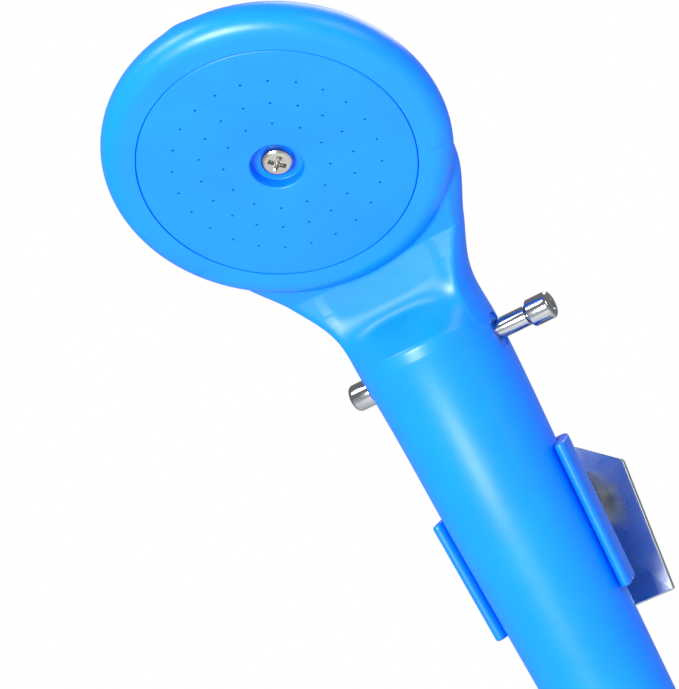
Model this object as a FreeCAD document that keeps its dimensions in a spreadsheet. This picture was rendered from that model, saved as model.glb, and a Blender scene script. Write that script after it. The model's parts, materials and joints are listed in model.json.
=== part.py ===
import FreeCAD, Part
import math
import os
import re
import Sketcher

# Hand-held spray handset with a push-rod stop valve, resting in a tilting wall cradle.
#
# The origin is on the wall face of the cradle's plate, midway between its two screw holes.
# +Z is up, +Y points into the wall and +X to the right of someone facing the wall.
#
# The handset is described in a frame of its own: z runs up the handle's centre line from the mouth of
# the hose nipple, and -y is the side that the round spray face looks to. That frame leans away from
# the wall by lean_deg. The spray face has a third frame, with z out of the face at its centre.

SHEET = "Dims"

DIMS = {
    # pose of the handset and of its head
    "lean_deg": 20.0,
    "bend_deg": 33.6,
    "face_out": 26.95,
    "face_up": 141.1,
    # handle: a slow cone, with the neck above it
    "handle_low": 11.0,
    "handle_low_rad": 11.5,
    "handle_top": 97.0,
    "handle_top_rad": 14.5,
    "handle_edge": 0.8,
    "water_bore": 5.0,
    "water_top": 116.0,
    "feed_rad": 3.6,
    "feed_long": 20.0,
    # neck relief: the flat bed in front, below the rim, and the ramp up to the handle's round
    "relief_step": 2.2,
    "relief_head_y": -7.7,
    "relief_head_z": 116.1,
    "relief_deep_y": -6.8,
    "relief_deep_z": 107.0,
    "ramp_low": 99.5,
    # head
    "head_rad": 32.4,
    "rim_round": 3.85,
    "head_wall": 4.0,
    "dome_deep": 12.5,
    "seat_rad": 25.85,
    "chamber_rad": 23.5,
    "chamber_wall": 7.2,
    "chamber_deep": 7.0,
    "boss_rad": 4.6,
    # spray plate with its screw and seal
    "plate_rad": 25.75,
    "plate_thick": 2.6,
    "plate_edge": 0.3,
    "hub_rad": 7.2,
    "hub_deep": 5.2,
    "sink_rad": 4.95,
    "sink_deep": 2.6,
    "screw_hole": 1.7,
    "jet_rad": 0.2,
    "ring_one": 9.8,
    "ring_two": 14.3,
    "ring_three": 19.2,
    "seal_thick": 1.0,
    "seal_in": 23.8,
    "seal_out": 25.7,
    "screw_head_rad": 3.0,
    "screw_head_high": 1.9,
    "screw_shank_rad": 1.5,
    "screw_long": 9.0,
    "recess_long": 3.4,
    "recess_wide": 0.8,
    "recess_deep": 1.2,
    "insert_rad": 2.3,
    "insert_long": 6.5,
    "insert_hole": 1.52,
    # push-rod stop valve across the neck
    "valve_up": 94.4,
    "valve_block": 6.0,
    "cross_rad": 3.6,
    "sleeve_half": 12.0,
    "sleeve_rad": 3.57,
    "sleeve_bore": 2.06,
    "port_rad": 1.6,
    "bush_thick": 1.9,
    "rod_rad": 2.0,
    "rod_waist_rad": 1.2,
    "rod_waist_half": 2.3,
    "rod_groove_half": 0.5,
    "rod_groove_rad": 1.3,
    "ring_pitch": 4.0,
    "ring_thick": 0.36,
    "knob_rad": 2.75,
    "knob_left_in": 14.3,
    "knob_left_out": 18.9,
    "knob_right_in": 21.3,
    "knob_right_out": 26.1,
    "knob_gap": 0.5,
    "knob_round": 1.0,
    # sleeve seals
    "sleeve_groove_at": 7.0,
    "sleeve_ring_thick": 0.45,
    # hose nipple, its seal and its strainer
    "nipple_thread_rad": 10.478,
    "nipple_thread_long": 9.5,
    "nipple_flange_rad": 11.4,
    "nipple_spigot_rad": 8.0,
    "nipple_spigot_top": 26.0,
    "nipple_bore": 5.0,
    "nipple_mouth_rad": 7.4,
    "nipple_mouth_deep": 3.2,
    "nipple_groove_at": 20.0,
    "nipple_ring_thick": 0.8,
    "strainer_rim": 7.3,
    "strainer_cup": 4.6,
    "strainer_long": 8.0,
    "strainer_wall": 0.6,
    "strainer_slot": 1.2,
    # cradle clip
    "clip_low": 39.5,
    "clip_top": 70.0,
    "clip_gap": 0.2,
    "clip_wall": 2.3,
    "clip_lip_y": -2.0,
    "clip_slant": 4.5,
    "lug_half": 4.2,
    "lug_root": 9.0,
    # pivot and wall plate
    "pivot_back": 22.3,
    "pivot_up": 54.75,
    "pivot_rad": 5.5,
    "pivot_stand": 9.0,
    "pivot_rise": 6.6,
    "pivot_bore": 2.05,
    "bolt_rad": 1.98,
    "bolt_head_rad": 3.6,
    "bolt_head_thick": 2.4,
    "bolt_end": 13.2,
    "washer_rad": 4.6,
    "washer_thick": 0.7,
    "washer_gap": 0.1,
    "ear_thick": 1.5,
    "lock_thick": 0.9,
    "nut_rad": 5.5,
    "nut_thick": 5.0,
    "nut_flute": 0.7,
    "nut_gap": 0.05,
    "bracket_thick": 1.5,
    "bracket_half": 14.0,
    "bracket_low": 16.5,
    "bracket_top": 18.5,
    "bracket_corner_x": 5.5,
    "bracket_corner_z": 12.0,
    "hole_at": 12.5,
    "hole_rad": 2.1,
}

JETS = {"ring_one": 12, "ring_two": 18, "ring_three": 24}
NUT_FLUTES = 18
STRAINER_SLOTS = 8
FULL_TURN = 360

doc = FreeCAD.newDocument("spray_handset")
sheet = doc.addObject("Spreadsheet::Sheet", SHEET)
nodes = []

# Where the handset's own frame stands: its pivot point lies pivot_stand in front of the wall plate.
HANDSET_Y = ("-bracket_thick - pivot_stand - pivot_back * cos(lean_deg)"
             " + pivot_up * sin(lean_deg)")
HANDSET_Z = "pivot_rise - pivot_back * sin(lean_deg) - pivot_up * cos(lean_deg)"
HANDLE_SLOPE = "(handle_top_rad - handle_low_rad) / (handle_top - handle_low)"


def fill_sheet():
    """Write every driving dimension in the sheet, with its name beside it."""
    for row, (name, length) in enumerate(DIMS.items(), start=1):
        sheet.set("A%d" % row, name)
        sheet.set("B%d" % row, repr(length))
        sheet.setAlias("B%d" % row, name)
    doc.recompute()


def dim(formula):
    """Point each name with an underscore in it at its cell of the sheet."""
    return re.sub(r"\b[a-z]+(?:_[a-z]+)+\b", lambda name: SHEET + "." + name.group(), formula)


def worth(formula):
    """Work out a formula of sheet names, in millimetres or degrees."""
    return float(sheet.evalExpression(dim(formula)))


def bind(thing, **formulas):
    """Bind properties of an object to formulas of sheet names."""
    for name, formula in formulas.items():
        thing.setExpression(name, dim(formula))
    return thing


def turn_about_x(thing, base, degrees):
    """Bind an object's placement: base is three formulas, and it is turned about X."""
    x_axis = FreeCAD.Vector(1, 0, 0)
    thing.Placement = FreeCAD.Placement(FreeCAD.Vector(), FreeCAD.Rotation(x_axis, 1))
    for letter, formula in zip("xyz", base):
        thing.setExpression("Placement.Base." + letter, dim(formula))
    thing.setExpression("Placement.Rotation.Angle", dim(degrees))
    return thing


def on_handset(thing, back="0", up="0", degrees="0", across="0"):
    """Place a finished sub-part by its place in the handset's leaning frame."""
    y = "%s + (%s) * cos(lean_deg) - (%s) * sin(lean_deg)" % (HANDSET_Y, back, up)
    z = "%s + (%s) * sin(lean_deg) + (%s) * cos(lean_deg)" % (HANDSET_Z, back, up)
    return turn_about_x(thing, (across, y, z), "lean_deg + " + degrees)


def on_face(thing):
    """Place a finished sub-part that is drawn with its z out of the centre of the spray face."""
    return on_handset(thing, "-face_out", "face_up", "90 + bend_deg")


def node(thing, name):
    """Name a finished sub-part and list it for writing."""
    thing.Label = name
    nodes.append(thing)
    return thing


def plane(body, role):
    """Find one of a body's origin planes."""
    return next(part for part in body.Origin.OriginFeatures if part.Role == role)


def attach(body, name, role, height="0"):
    """Add a sketch to a body on one of its origin planes, raised along the plane's normal."""
    sketch = body.newObject("Sketcher::SketchObject", name)
    sketch.AttachmentSupport = [(plane(body, role), "")]
    sketch.MapMode = "FlatFace"
    sketch.setExpression("AttachmentOffset.Base.z", dim(height))
    return sketch


def fix_point(sketch, line, end, x, y):
    """Hold one end of a sketch line at two formulas."""
    for kind, formula, axis in (("DistanceX", x, -2), ("DistanceY", y, -1)):
        distance = worth(formula)
        if abs(distance) < 1e-9:
            sketch.addConstraint(Sketcher.Constraint("PointOnObject", line, end, axis))
            continue
        index = sketch.addConstraint(Sketcher.Constraint(kind, -1, 1, line, end, distance))
        sketch.setExpression("Constraints[%d]" % index, dim(formula))


def outline(body, name, role, points, height="0"):
    """Draw a closed outline of straight lines through points given as pairs of formulas."""
    sketch = attach(body, name, role, height)
    corners = [FreeCAD.Vector(worth(x), worth(y), 0) for x, y in points]
    count = len(corners)
    for index in range(count):
        sketch.addGeometry(Part.LineSegment(corners[index], corners[(index + 1) % count]), False)
    for index in range(count):
        follower = (index + 1) % count
        sketch.addConstraint(Sketcher.Constraint("Coincident", index, 2, follower, 1))
    for index, (x, y) in enumerate(points):
        fix_point(sketch, index, 1, x, y)
    return sketch


def circle(body, name, role, x, y, rad, height="0"):
    """Draw a circle whose centre and radius are formulas."""
    sketch = attach(body, name, role, height)
    centre = FreeCAD.Vector(worth(x), worth(y), 0)
    sketch.addGeometry(Part.Circle(centre, FreeCAD.Vector(0, 0, 1), worth(rad)), False)
    fix_point(sketch, 0, 3, x, y)
    index = sketch.addConstraint(Sketcher.Constraint("Radius", 0, worth(rad)))
    sketch.setExpression("Constraints[%d]" % index, dim(rad))
    return sketch


def feature(body, kind, sketch, **formulas):
    """Add a sketch-based feature to a body and recompute it."""
    made = body.newObject("PartDesign::" + kind, sketch.Name + "_" + kind.lower())
    made.Profile = sketch
    bind(made, **formulas)
    sketch.Visibility = False
    doc.recompute()
    return made


def turned(name, points, along="z"):
    """Turn a profile about the Z axis (radius, height) or about the X axis (place, radius)."""
    body = doc.addObject("PartDesign::Body", name)
    role, axis = {"z": ("XZ_Plane", "V_Axis"), "x": ("XY_Plane", "H_Axis")}[along]
    sketch = outline(body, name + "_profile", role, points)
    made = feature(body, "Revolution", sketch)
    made.ReferenceAxis = (sketch, [axis])
    made.Angle = FULL_TURN
    doc.recompute()
    return body


def pad(body, sketch, length, symmetric=False):
    """Pad a sketch, one way or to both sides of its plane."""
    made = feature(body, "Pad", sketch, Length=length)
    made.SideType = "Symmetric" if symmetric else "One side"
    doc.recompute()
    return made


def pocket(body, sketch, length, reverse=False, symmetric=False):
    """Cut a sketch out of a body and stop if nothing was cut."""
    before = body.Shape.Volume
    made = feature(body, "Pocket", sketch, Length=length)
    made.SideType = "Symmetric" if symmetric else "One side"
    made.Reversed = reverse
    doc.recompute()
    if body.Shape.Volume > before - 1e-6:
        raise RuntimeError(made.Name + " cuts nothing")
    return made


def polar(body, original, count, role="Z_Axis"):
    """Repeat a feature evenly round one of the body's axes."""
    made = body.newObject("PartDesign::PolarPattern", original.Name + "_ring")
    made.Originals = [original]
    made.Axis = (plane(body, role), [""])
    made.Angle = FULL_TURN
    made.Occurrences = count
    body.Tip = made
    doc.recompute()
    return made


def round_edges(body, rad, wanted, kind="Fillet"):
    """Fillet or chamfer the edges of a body's tip that the test picks out."""
    base = body.Tip
    names = ["Edge%d" % (index + 1) for index, edge in enumerate(base.Shape.Edges) if wanted(edge)]
    if not names:
        raise RuntimeError("no edge to round on " + body.Name)
    made = body.newObject("PartDesign::" + kind, body.Name + "_" + kind.lower())
    made.Base = (base, names)
    bind(made, **{"Radius" if kind == "Fillet" else "Size": rad})
    doc.recompute()
    return made


def ring_at(rad, height, axis=2):
    """Test for a full circle of a radius at a height along an axis."""
    def wanted(edge):
        curve = edge.Curve
        if not isinstance(curve, Part.Circle) or abs(curve.Radius - worth(rad)) > 1e-4:
            return False
        return abs(curve.Center[axis] - worth(height)) < 1e-4
    return wanted


def solid(kind, name, **formulas):
    """Add a Part primitive whose sizes are formulas."""
    return bind(doc.addObject("Part::" + kind, name), **formulas)


def rod_shape(name, rad, length, back="0", up="0", degrees="0", across="0"):
    """Add a cylinder standing at a point and turned about X."""
    made = solid("Cylinder", name, Radius=rad, Height=length)
    return turn_about_x(made, (across, back, up), degrees)


def cross_cylinder(name, rad, half, back, up):
    """Add a cylinder along X, half its length each side of the middle plane."""
    made = solid("Cylinder", name, Radius=rad, Height="2 * (%s)" % half)
    y_axis = FreeCAD.Vector(0, 1, 0)
    made.Placement = FreeCAD.Placement(FreeCAD.Vector(), FreeCAD.Rotation(y_axis, 90))
    for letter, formula in zip("xyz", ("-(%s)" % half, back, up)):
        made.setExpression("Placement.Base." + letter, dim(formula))
    return made


def join(name, shapes):
    """Fuse shapes into one."""
    made = doc.addObject("Part::MultiFuse", name)
    made.Shapes = shapes
    made.Refine = True
    return made


def cut(name, base, tool):
    """Cut one shape from another and stop if nothing was cut."""
    made = doc.addObject("Part::Cut", name)
    made.Base = base
    made.Tool = tool
    made.Refine = True
    doc.recompute()
    if made.Shape.Volume > base.Shape.Volume - 1e-6:
        raise RuntimeError(name + " cuts nothing")
    return made


def rings(name, rad, thick, places):
    """Make sealing rings round the X axis at the given places."""
    made = []
    for index, place in enumerate(places):
        torus = solid("Torus", "%s_%d" % (name, index), Radius1=rad, Radius2=thick)
        y_axis = FreeCAD.Vector(0, 1, 0)
        torus.Placement = FreeCAD.Placement(FreeCAD.Vector(), FreeCAD.Rotation(y_axis, 90))
        torus.setExpression("Placement.Base.x", dim(place))
        made.append(torus)
    group = doc.addObject("Part::Compound", name)
    group.Links = made
    return group


def handle_blank():
    """The tapered round handle, with a small bevel at its lower end."""
    body = turned("handle_blank", [
        ("0", "handle_low"),
        ("handle_low_rad - handle_edge", "handle_low"),
        ("handle_low_rad", "handle_low + handle_edge"),
        ("handle_top_rad", "handle_top"),
        ("0", "handle_top"),
    ])
    return body


def neck_blank():
    """The neck: round at the handle, bending forward and flattening as it runs in under the head."""
    sections = [
        # back, up, turn, half width, half depth
        ("0", "handle_top", "0", "handle_top_rad", "handle_top_rad"),
        ("-1.5", "handle_top + 10", "bend_deg / 12", "handle_top_rad + 0.5", "handle_top_rad - 1.5"),
        ("-4", "handle_top + 20", "bend_deg * 0.45", "handle_top_rad + 5.4", "handle_top_rad - 3.8"),
        ("-9.5", "handle_top + 29.5", "bend_deg * 0.85", "head_rad - 7", "dome_deep - 5.5"),
        ("-12.5", "handle_top + 37.7", "bend_deg", "head_rad - 7.9", "dome_deep - 7.2"),
    ]
    rounds = []
    for index, (back, up, degrees, half_width, half_depth) in enumerate(sections):
        name = "neck_section_%d" % index
        if half_width == half_depth:
            made = solid("Circle", name, Radius=half_width)
        else:
            made = solid("Ellipse", name, MajorRadius=half_width, MinorRadius=half_depth)
        rounds.append(turn_about_x(made, ("0", back, up), degrees))
    loft = doc.addObject("Part::Loft", "neck_blank")
    loft.Sections = rounds
    loft.Solid = True
    return loft


def relief_blank():
    """What is cut away in front of the neck, down to the valley's bed and to the ramp's foot."""
    body = doc.addObject("PartDesign::Body", "relief_blank")
    # the relief's top edge runs parallel to the spray face, a step below it
    top_y = "-face_out + relief_step * cos(bend_deg)"
    top_z = "face_up + relief_step * sin(bend_deg)"
    pad(body, outline(body, "relief_profile", "YZ_Plane", [
        (top_y, top_z),
        ("relief_head_y", "relief_head_z"),
        ("relief_deep_y", "relief_deep_z"),
        ("relief_deep_y", "ramp_low"),
        ("-2 * head_rad", "ramp_low"),
        ("-2 * head_rad", top_z),
    ]), "4 * head_rad", symmetric=True)
    return body


def ramp_blank():
    """The ramp from the handle's front arc up to the straight bottom line of the valley."""
    rad, deep = worth("handle_top_rad"), worth("relief_deep_y")
    low, high = worth("ramp_low"), worth("relief_deep_z")
    half = math.sqrt(rad * rad - deep * deep)
    left, right = FreeCAD.Vector(-half, deep, low), FreeCAD.Vector(half, deep, low)
    rise = FreeCAD.Vector(0, 0, high - low)
    arc = Part.Arc(left, FreeCAD.Vector(0, -rad, low), right).toShape()
    front = Part.makeRuledSurface(arc, Part.makeLine(left + rise, right + rise))
    floor = Part.Face(Part.Wire([arc, Part.makeLine(right, left)]))
    back = Part.Face(Part.makePolygon([left, right, right + rise, left + rise, left]))
    ramp = doc.addObject("Part::Feature", "ramp_blank")
    ramp.Shape = Part.makeSolid(Part.makeShell([floor, back, front]))
    return ramp


def head_blank():
    """The round head: a flat front with a rounded rim, a short wall and a domed back."""
    flat = rod_shape("head_flat", "head_rad - rim_round", "head_wall", up="-head_wall")
    wall = rod_shape("head_band", "head_rad", "head_wall - rim_round", up="-head_wall")
    rim = solid("Torus", "head_rim", Radius1="head_rad - rim_round", Radius2="rim_round")
    turn_about_x(rim, ("0", "0", "-rim_round"), "0")
    dome = solid("Ellipsoid", "head_dome", Radius1="dome_deep", Radius2="head_rad")
    dome.Angle2 = 0
    turn_about_x(dome, ("0", "0", "-head_wall"), "0")
    head = join("head_blank", [flat, wall, rim, dome])
    return turn_about_x(head, ("0", "-face_out", "face_up"), "90 + bend_deg")


def head_hollow():
    """The plate's seat and the water chamber behind it, round a central screw boss."""
    seat_deep = "plate_thick + seal_thick"
    seat = rod_shape("seat_space", "seat_rad", "%s + rim_round" % seat_deep, up="-(%s)" % seat_deep)
    chamber = rod_shape("chamber_space", "chamber_rad", "chamber_wall", up="-chamber_wall")
    bowl = solid("Ellipsoid", "bowl_space", Radius1="chamber_deep", Radius2="chamber_rad")
    bowl.Angle2 = 0
    turn_about_x(bowl, ("0", "0", "-chamber_wall"), "0")
    space = join("chamber_spaces", [seat, chamber, bowl])
    boss = rod_shape("screw_boss", "boss_rad", "chamber_wall + chamber_deep - hub_deep",
                     up="-chamber_wall - chamber_deep - 0.1")
    bored = rod_shape("insert_space", "insert_rad", "insert_long", up="-hub_deep - insert_long")
    hollow = join("head_hollow", [cut("head_chamber", space, boss), bored])
    return turn_about_x(hollow, ("0", "-face_out", "face_up"), "90 + bend_deg")


def handset_shell():
    """The one-piece moulded handset: handle, neck and head round the waterway and the valve."""
    stem = cut("stem_blank", join("stem_full", [handle_blank(), neck_blank()]), relief_blank())
    outside = join("shell_outside", [stem, ramp_blank(), head_blank()])
    spaces = join("shell_spaces", [
        head_hollow(),
        rod_shape("water_space", "water_bore", "valve_up - valve_block"),
        rod_shape("port_space", "port_rad", "4 * valve_block", up="valve_up - 2 * valve_block"),
        rod_shape("upper_space", "water_bore", "water_top - valve_up - valve_block",
                  up="valve_up + valve_block"),
        rod_shape("feed_space", "feed_rad", "feed_long", up="water_top - 1", degrees="bend_deg"),
        rod_shape("nipple_socket", "nipple_spigot_rad", "nipple_spigot_top"),
        cross_cylinder("valve_space", "cross_rad", "2 * handle_top_rad", "0", "valve_up"),
    ])
    shell = cut("handset_shell_cut", outside, spaces)
    return node(on_handset(shell), "handset_shell")


def spray_plate():
    """The perforated face plate: three rings of fine jets and a sunk hub for the screw."""
    body = doc.addObject("PartDesign::Body", "spray_plate_body")
    pad(body, circle(body, "plate_disc", "XY_Plane", "0", "0", "plate_rad", "-plate_thick"),
        "plate_thick")
    round_edges(body, "plate_edge", ring_at("plate_rad", "0"))
    pad(body, circle(body, "plate_hub", "XY_Plane", "0", "0", "hub_rad", "-hub_deep"),
        "hub_deep - plate_thick / 2")
    pocket(body, circle(body, "plate_sink", "XY_Plane", "0", "0", "sink_rad"), "sink_deep")
    pocket(body, circle(body, "plate_bore", "XY_Plane", "0", "0", "screw_hole"), "2 * hub_deep")
    for ring, count in JETS.items():
        jet = pocket(body, circle(body, "jet_" + ring, "XY_Plane", ring, "0", "jet_rad"),
                     "2 * plate_thick")
        polar(body, jet, count)
    return node(on_face(body), "spray_plate")


def plate_seal():
    """The flat rubber ring squeezed between the spray plate and its seat."""
    top = "-plate_thick"
    low = "-plate_thick - seal_thick"
    body = turned("plate_seal_body", [
        ("seal_in", low), ("seal_out", low), ("seal_out", top), ("seal_in", top)])
    return node(on_face(body), "plate_seal")


def plate_screw():
    """The pan-head cross-recess screw that holds the spray plate."""
    seat = "-sink_deep"
    tip = "-sink_deep - screw_long"
    body = turned("plate_screw_body", [
        ("0", tip),
        ("screw_shank_rad - 0.5", tip),
        ("screw_shank_rad", tip + " + 0.5"),
        ("screw_shank_rad", seat),
        ("screw_head_rad", seat),
        ("screw_head_rad", seat + " + screw_head_high / 2"),
        ("screw_head_rad * 0.62", seat + " + screw_head_high"),
        ("0", seat + " + screw_head_high"),
    ])
    round_edges(body, "screw_head_high / 3",
                ring_at("screw_head_rad", seat + " + screw_head_high / 2"))
    for index, (long_x, long_y) in enumerate((("recess_long", "recess_wide"),
                                              ("recess_wide", "recess_long"))):
        half_x = long_x + " / 2"
        half_y = long_y + " / 2"
        slot = outline(body, "recess_%d" % index, "XY_Plane", [
            ("-" + half_x, "-" + half_y), (half_x, "-" + half_y), (half_x, half_y),
            ("-" + half_x, half_y)], seat + " + screw_head_high")
        pocket(body, slot, "recess_deep")
    return node(on_face(body), "plate_screw")


def screw_insert():
    """The brass threaded insert moulded in the screw boss."""
    top = "-hub_deep"
    low = "-hub_deep - insert_long"
    body = turned("screw_insert_body", [
        ("insert_hole", low), ("insert_rad", low), ("insert_rad", top), ("insert_hole", top)])
    return node(on_face(body), "screw_insert")


def on_valve(thing):
    """Place a sub-part that is drawn along X through the middle of the valve."""
    return on_handset(thing, "0", "valve_up")


def valve_sleeve():
    """The plastic sleeve fixed across the waterway, with a port through it and two seal grooves."""
    deep = "cross_rad - 2 * sleeve_ring_thick"
    profile = [("-sleeve_half", "sleeve_bore"), ("-sleeve_half", "sleeve_rad")]
    for side in ("-", ""):
        near = side + "sleeve_groove_at - sleeve_ring_thick"
        far = side + "sleeve_groove_at + sleeve_ring_thick"
        profile += [(near, "sleeve_rad"), (near, deep), (far, deep), (far, "sleeve_rad")]
    profile += [("sleeve_half", "sleeve_rad"), ("sleeve_half", "sleeve_bore")]
    body = turned("valve_sleeve_body", profile, along="x")
    port = circle(body, "sleeve_port", "XY_Plane", "0", "0", "port_rad")
    pocket(body, port, "4 * cross_rad", symmetric=True)
    return node(on_valve(body), "valve_sleeve")


def sleeve_seals():
    """The two rubber rings that seal the sleeve in the body."""
    group = rings("sleeve_seal", "cross_rad - sleeve_ring_thick", "sleeve_ring_thick",
                  ("-sleeve_groove_at", "sleeve_groove_at"))
    return node(on_valve(group), "sleeve_seals")


def stop_rod():
    """The metal push rod: a waist that lets water past, seal grooves and the left-hand knob."""
    profile = [
        ("-knob_left_out", "0"),
        ("-knob_left_out", "knob_rad - knob_round"),
        ("-knob_left_out + knob_round", "knob_rad"),
        ("-knob_left_in", "knob_rad"),
        ("-knob_left_in", "rod_rad"),
    ]
    for place in ("-ring_pitch", None, "ring_pitch", "2 * ring_pitch"):
        half, deep = ("rod_groove_half", "rod_groove_rad") if place else (
            "rod_waist_half", "rod_waist_rad")
        near = "%s - %s" % (place or "0", half)
        far = "%s + %s" % (place or "0", half)
        profile += [(near, "rod_rad"), (near, deep), (far, deep), (far, "rod_rad")]
    profile += [
        ("knob_right_in - knob_gap", "rod_rad"),
        ("knob_right_in - knob_gap", "rod_groove_rad"),
        ("knob_right_out - knob_round", "rod_groove_rad"),
        ("knob_right_out - knob_round", "0"),
    ]
    body = turned("stop_rod_body", profile, along="x")
    round_edges(body, "knob_round", ring_at("knob_rad", "-knob_left_out + knob_round", axis=0))
    return node(on_valve(body), "stop_rod")


def rod_knob():
    """The right-hand knob, screwed on the rod's end."""
    body = turned("rod_knob_body", [
        ("knob_right_in", "rod_groove_rad"),
        ("knob_right_in", "knob_rad"),
        ("knob_right_out", "knob_rad"),
        ("knob_right_out", "0"),
        ("knob_right_out - knob_round", "0"),
        ("knob_right_out - knob_round", "rod_groove_rad"),
    ], along="x")
    round_edges(body, "knob_round * 0.6", ring_at("knob_rad", "knob_right_out", axis=0))
    round_edges(body, "knob_round * 0.3", ring_at("knob_rad", "knob_right_in", axis=0))
    return node(on_valve(body), "rod_knob")


def rod_seals():
    """The rubber rings in the rod's grooves."""
    group = rings("rod_seal", "sleeve_bore - 0.01 - ring_thick", "ring_thick",
                  ("-ring_pitch", "ring_pitch", "2 * ring_pitch"))
    return node(on_valve(group), "rod_seals")


def rod_bush(name, side):
    """The bush that closes one end of the cross bore round the rod."""
    near = side + "sleeve_half"
    far = "%s(sleeve_half + bush_thick)" % side
    body = turned(name + "_body", [
        (near, "sleeve_bore"), (near, "cross_rad"), (far, "cross_rad"), (far, "sleeve_bore")],
        along="x")
    return node(on_valve(body), name)


def inlet_nipple():
    """The plated hose nipple: an outside thread, a flange and a spigot with a seal groove."""
    low = "nipple_groove_at - nipple_ring_thick"
    high = "nipple_groove_at + nipple_ring_thick"
    deep = "nipple_spigot_rad - 2 * nipple_ring_thick"
    body = turned("inlet_nipple_body", [
        ("nipple_mouth_rad", "0"),
        ("nipple_thread_rad - 0.8", "0"),
        ("nipple_thread_rad", "0.8"),
        ("nipple_thread_rad", "nipple_thread_long"),
        ("nipple_flange_rad", "nipple_thread_long"),
        ("nipple_flange_rad", "handle_low"),
        ("nipple_spigot_rad", "handle_low"),
        ("nipple_spigot_rad", low), (deep, low), (deep, high), ("nipple_spigot_rad", high),
        ("nipple_spigot_rad", "nipple_spigot_top"),
        ("nipple_bore", "nipple_spigot_top"),
        ("nipple_bore", "nipple_mouth_deep"),
        ("nipple_mouth_rad", "nipple_mouth_deep"),
    ])
    return node(on_handset(body), "inlet_nipple")


def nipple_seal():
    """The rubber ring between the nipple's spigot and the handle."""
    torus = solid("Torus", "nipple_seal_ring", Radius1="nipple_spigot_rad - nipple_ring_thick",
                  Radius2="nipple_ring_thick")
    return node(on_handset(torus, up="nipple_groove_at"), "nipple_seal")


def inlet_strainer():
    """The small metal cup in the nipple's mouth that stops grit, slotted round its wall."""
    rim_low = "nipple_mouth_deep - strainer_wall"
    top = "nipple_mouth_deep + strainer_long"
    inner = "strainer_cup - strainer_wall"
    body = turned("inlet_strainer_body", [
        (inner, rim_low),
        ("strainer_rim", rim_low),
        ("strainer_rim", "nipple_mouth_deep"),
        ("strainer_cup", "nipple_mouth_deep"),
        ("strainer_cup", top),
        ("0", top),
        ("0", top + " - strainer_wall"),
        (inner, top + " - strainer_wall"),
    ])
    half = "strainer_slot / 2"
    slot = outline(body, "strainer_slot", "XZ_Plane", [
        ("-" + half, "nipple_mouth_deep + strainer_slot"), (half, "nipple_mouth_deep + strainer_slot"),
        (half, top + " - 2 * strainer_slot"), ("-" + half, top + " - 2 * strainer_slot")])
    polar(body, pocket(body, slot, "2 * strainer_cup"), STRAINER_SLOTS)
    return node(on_handset(body), "inlet_strainer")


def clip_inside(height):
    """The clip's inside radius at a height: the handle's own taper plus the running gap."""
    return "handle_low_rad + (%s - handle_low) * %s + clip_gap" % (height, HANDLE_SLOPE)


def holder_clip():
    """The cradle clip: a tapered open collar with the pivot lug on its back."""
    height = "clip_top - clip_low"
    outer = solid("Cone", "clip_outer", Radius1=clip_inside("clip_low") + " + clip_wall",
                  Radius2=clip_inside("clip_top") + " + clip_wall", Height=height)
    inner = solid("Cone", "clip_inner", Radius1=clip_inside("clip_low"),
                  Radius2=clip_inside("clip_top"), Height=height)
    for cone in (outer, inner):
        turn_about_x(cone, ("0", "0", "clip_low"), "0")
    front = solid("Box", "clip_mouth", Length="4 * handle_top_rad", Width="2 * handle_top_rad",
                  Height="2 * clip_top")
    turn_about_x(front, ("-2 * handle_top_rad", "clip_lip_y - 2 * handle_top_rad", "0"), "0")
    slant = doc.addObject("PartDesign::Body", "clip_slant")
    wide = "2 * handle_top_rad"
    pad(slant, outline(slant, "slant_profile", "XZ_Plane", [
        ("handle_top_rad", "clip_top"),
        ("-" + wide, "clip_top - clip_slant * 1.5"),
        ("-" + wide, "2 * clip_top"),
        ("handle_top_rad", "2 * clip_top"),
    ]), "4 * handle_top_rad", symmetric=True)
    lug = doc.addObject("PartDesign::Body", "clip_lug")
    pad(lug, outline(lug, "lug_profile", "YZ_Plane", [
        ("handle_top_rad", "pivot_up - lug_root"),
        ("pivot_back", "pivot_up - pivot_rad"),
        ("pivot_back", "pivot_up + pivot_rad"),
        ("handle_top_rad", "pivot_up + lug_root"),
    ]), "2 * lug_half", symmetric=True)
    pad(lug, circle(lug, "lug_end", "YZ_Plane", "pivot_back", "pivot_up", "pivot_rad"),
        "2 * lug_half", symmetric=True)
    pocket(lug, circle(lug, "lug_bore", "YZ_Plane", "pivot_back", "pivot_up", "pivot_bore"),
           "4 * lug_half", symmetric=True)
    collar = cut("clip_collar", join("clip_full", [outer, lug]),
                 join("clip_space", [inner, front, slant]))
    return node(on_handset(collar), "holder_clip")


def on_pivot(thing):
    """Place a sub-part that is drawn along X through the cradle's pivot."""
    return turn_about_x(thing, ("0", "-bracket_thick - pivot_stand", "pivot_rise"), "0")


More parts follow.
